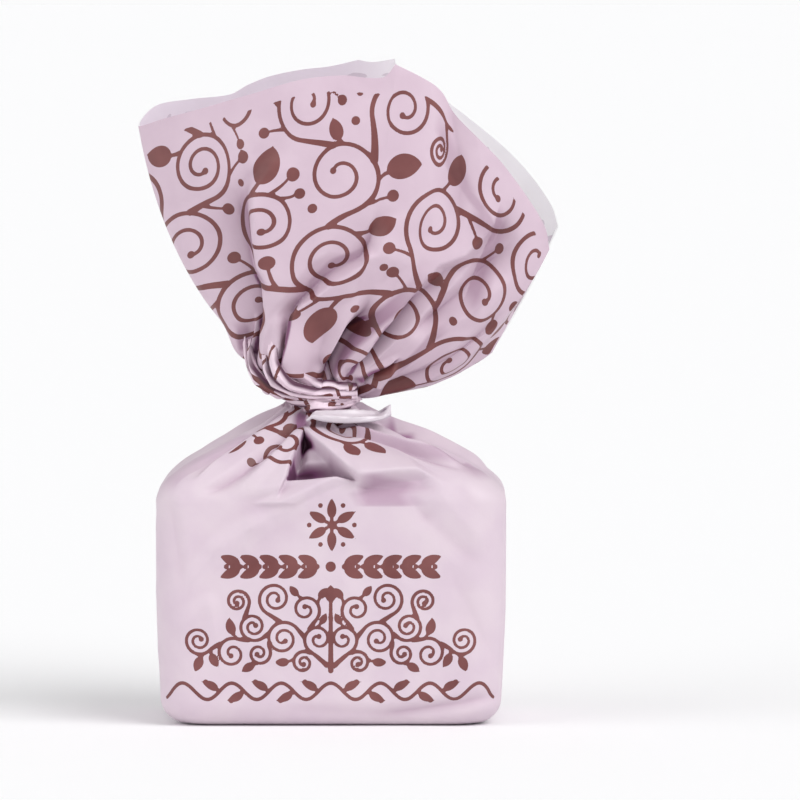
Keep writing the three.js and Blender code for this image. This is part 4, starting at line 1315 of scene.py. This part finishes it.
# ---- The lining fold at the neck ----
def liner_piece():
    """A strip of the glossy lining that comes out below the twist and stands off at its right end."""
    along, across = np.linspace(0, 1, LINER_STATIONS)[:, None], np.linspace(0, 1, LINER_LINES)[None, :]
    low, high = smooth_path(LINER_LOW, LINER_STATIONS), smooth_path(LINER_HIGH, LINER_STATIONS)
    front, outward = behind(*((low + high) / 2).T, np.ones(LINER_STATIONS), 0.8)
    neck, _ = behind(*(high + (0, 0.5)).T, np.zeros(LINER_STATIONS), 0.4)
    front, neck, outward = (smooth_line(values, LINER_SMOOTHING)
                            for values in (front[:, 1:2], neck[:, 1:2], outward))
    outward = unit(outward)[:, None]
    flat = lerp(low[:, None], high[:, None], across[..., None])
    tucked = across**2 * (1 - smoothstep(0.7, 1, along))
    point = stack(flat[..., 0], lerp(front, neck, tucked), flat[..., 1])
    lift = LINER_LIFT * (1 - 0.8 * tucked)
    for place, drift, width, height in LINER_FOLDS:
        offset = across - place - drift * along - 0.05 * np.sin(11 * along)
        lift += height * tent(offset, width, width * 0.6) * np.sin(np.pi * along) ** 0.4
    lift += LINER_TIP * smoothstep(0.7, 1, along) * across - 0.6 * (1 - smoothstep(0, 0.12, along))
    top = point + outward * (lift + LINER_THICKNESS)[..., None]
    ring = np.concatenate([point + outward * lift[..., None], top[:, ::-1]], 1)
    # Painted shade: a dark spot where the lining curls near its right end, and darker along both its long edges.
    curl_shade = tent(along - 0.86, 0.08, 0.07) * tent(across - lerp(0.5, 0.75, along), 0.12, 0.08) * 2
    curl_shade = np.clip(curl_shade + 0.35 * tent(across, 0.2, 0.2) + 0.25 * tent(1 - across, 0.2, 0.2), 0, 1)
    triangles = grid_triangles(LINER_STATIONS, 2 * LINER_LINES)
    values = vertex_values(ring, grid_normals(ring), np.concatenate([curl_shade, curl_shade[:, ::-1]], 1))
    make_piece("lining_fold", values, triangles, np.zeros(len(triangles)), [LINING], "lining", "liner")


liner_piece()

# ---- Floor, light and camera ----
SUBJECT = Vector((CENTRE_X, 0, CENTRE_Z)) * MM


def make_floor():
    bpy.ops.mesh.primitive_plane_add(size=FLOOR_SIZE)
    floor = bpy.context.object
    floor.name = "floor"
    floor.data.materials.append(new_material("pale_floor", (252, 252, 253), 0.9, 0.1)[0])


def sun_light(name, azimuth, elevation, spread, strength):
    """azimuth is 0 in front of the truffle and grows to its right."""
    light = bpy.data.lights.new(name, "SUN")
    light.angle = math.radians(spread)
    light.energy = strength
    lamp = bpy.data.objects.new(name, light)
    (front, right), (level, up) = direction(math.radians(azimuth)), direction(math.radians(elevation))
    lamp.location = Vector((right * level, -front * level, up))
    lamp.rotation_euler = (-lamp.location).to_track_quat("-Z", "Y").to_euler()
    bpy.context.scene.collection.objects.link(lamp)


def make_world():
    """Even soft light, with a brighter band along the horizon that meets the floor's colour."""
    world = bpy.data.worlds.new("studio")
    world.use_nodes = True
    tree = world.node_tree
    coords, parts, band = (tree.nodes.new("ShaderNode" + kind)
                           for kind in ("TexCoord", "SeparateXYZ", "MapRange"))
    tree.links.new(coords.outputs["Generated"], parts.inputs["Vector"])
    tree.links.new(parts.outputs["Z"], band.inputs["Value"])
    limits = zip(("From Min", "From Max", "To Min", "To Max"), (*HORIZON, HORIZON_STRENGTH, WORLD_STRENGTH))
    for socket, value in limits:
        band.inputs[socket].default_value = value
    background = tree.nodes["Background"]
    background.inputs["Color"].default_value = (1, 1, 1, 1)
    tree.links.new(band.outputs["Result"], background.inputs["Strength"])
    bpy.context.scene.world = world


def make_camera():
    data = bpy.data.cameras.new("camera")
    data.sensor_width = SENSOR
    data.lens = data.sensor_width * DISTANCE / (PICTURE / PIXELS_PER_MM * MM)
    camera = bpy.data.objects.new("camera", data)
    rise = math.radians(ELEVATION)
    camera.location = SUBJECT + DISTANCE * Vector((0, -math.cos(rise), math.sin(rise)))
    camera.rotation_euler = (SUBJECT - camera.location).to_track_quat("-Z", "Y").to_euler()
    bpy.context.scene.collection.objects.link(camera)
    bpy.context.scene.camera = camera


make_floor()
make_world()
for sun in SUNS:
    sun_light(*sun)
make_camera()
bpy.context.scene.view_settings.view_transform = "Standard"
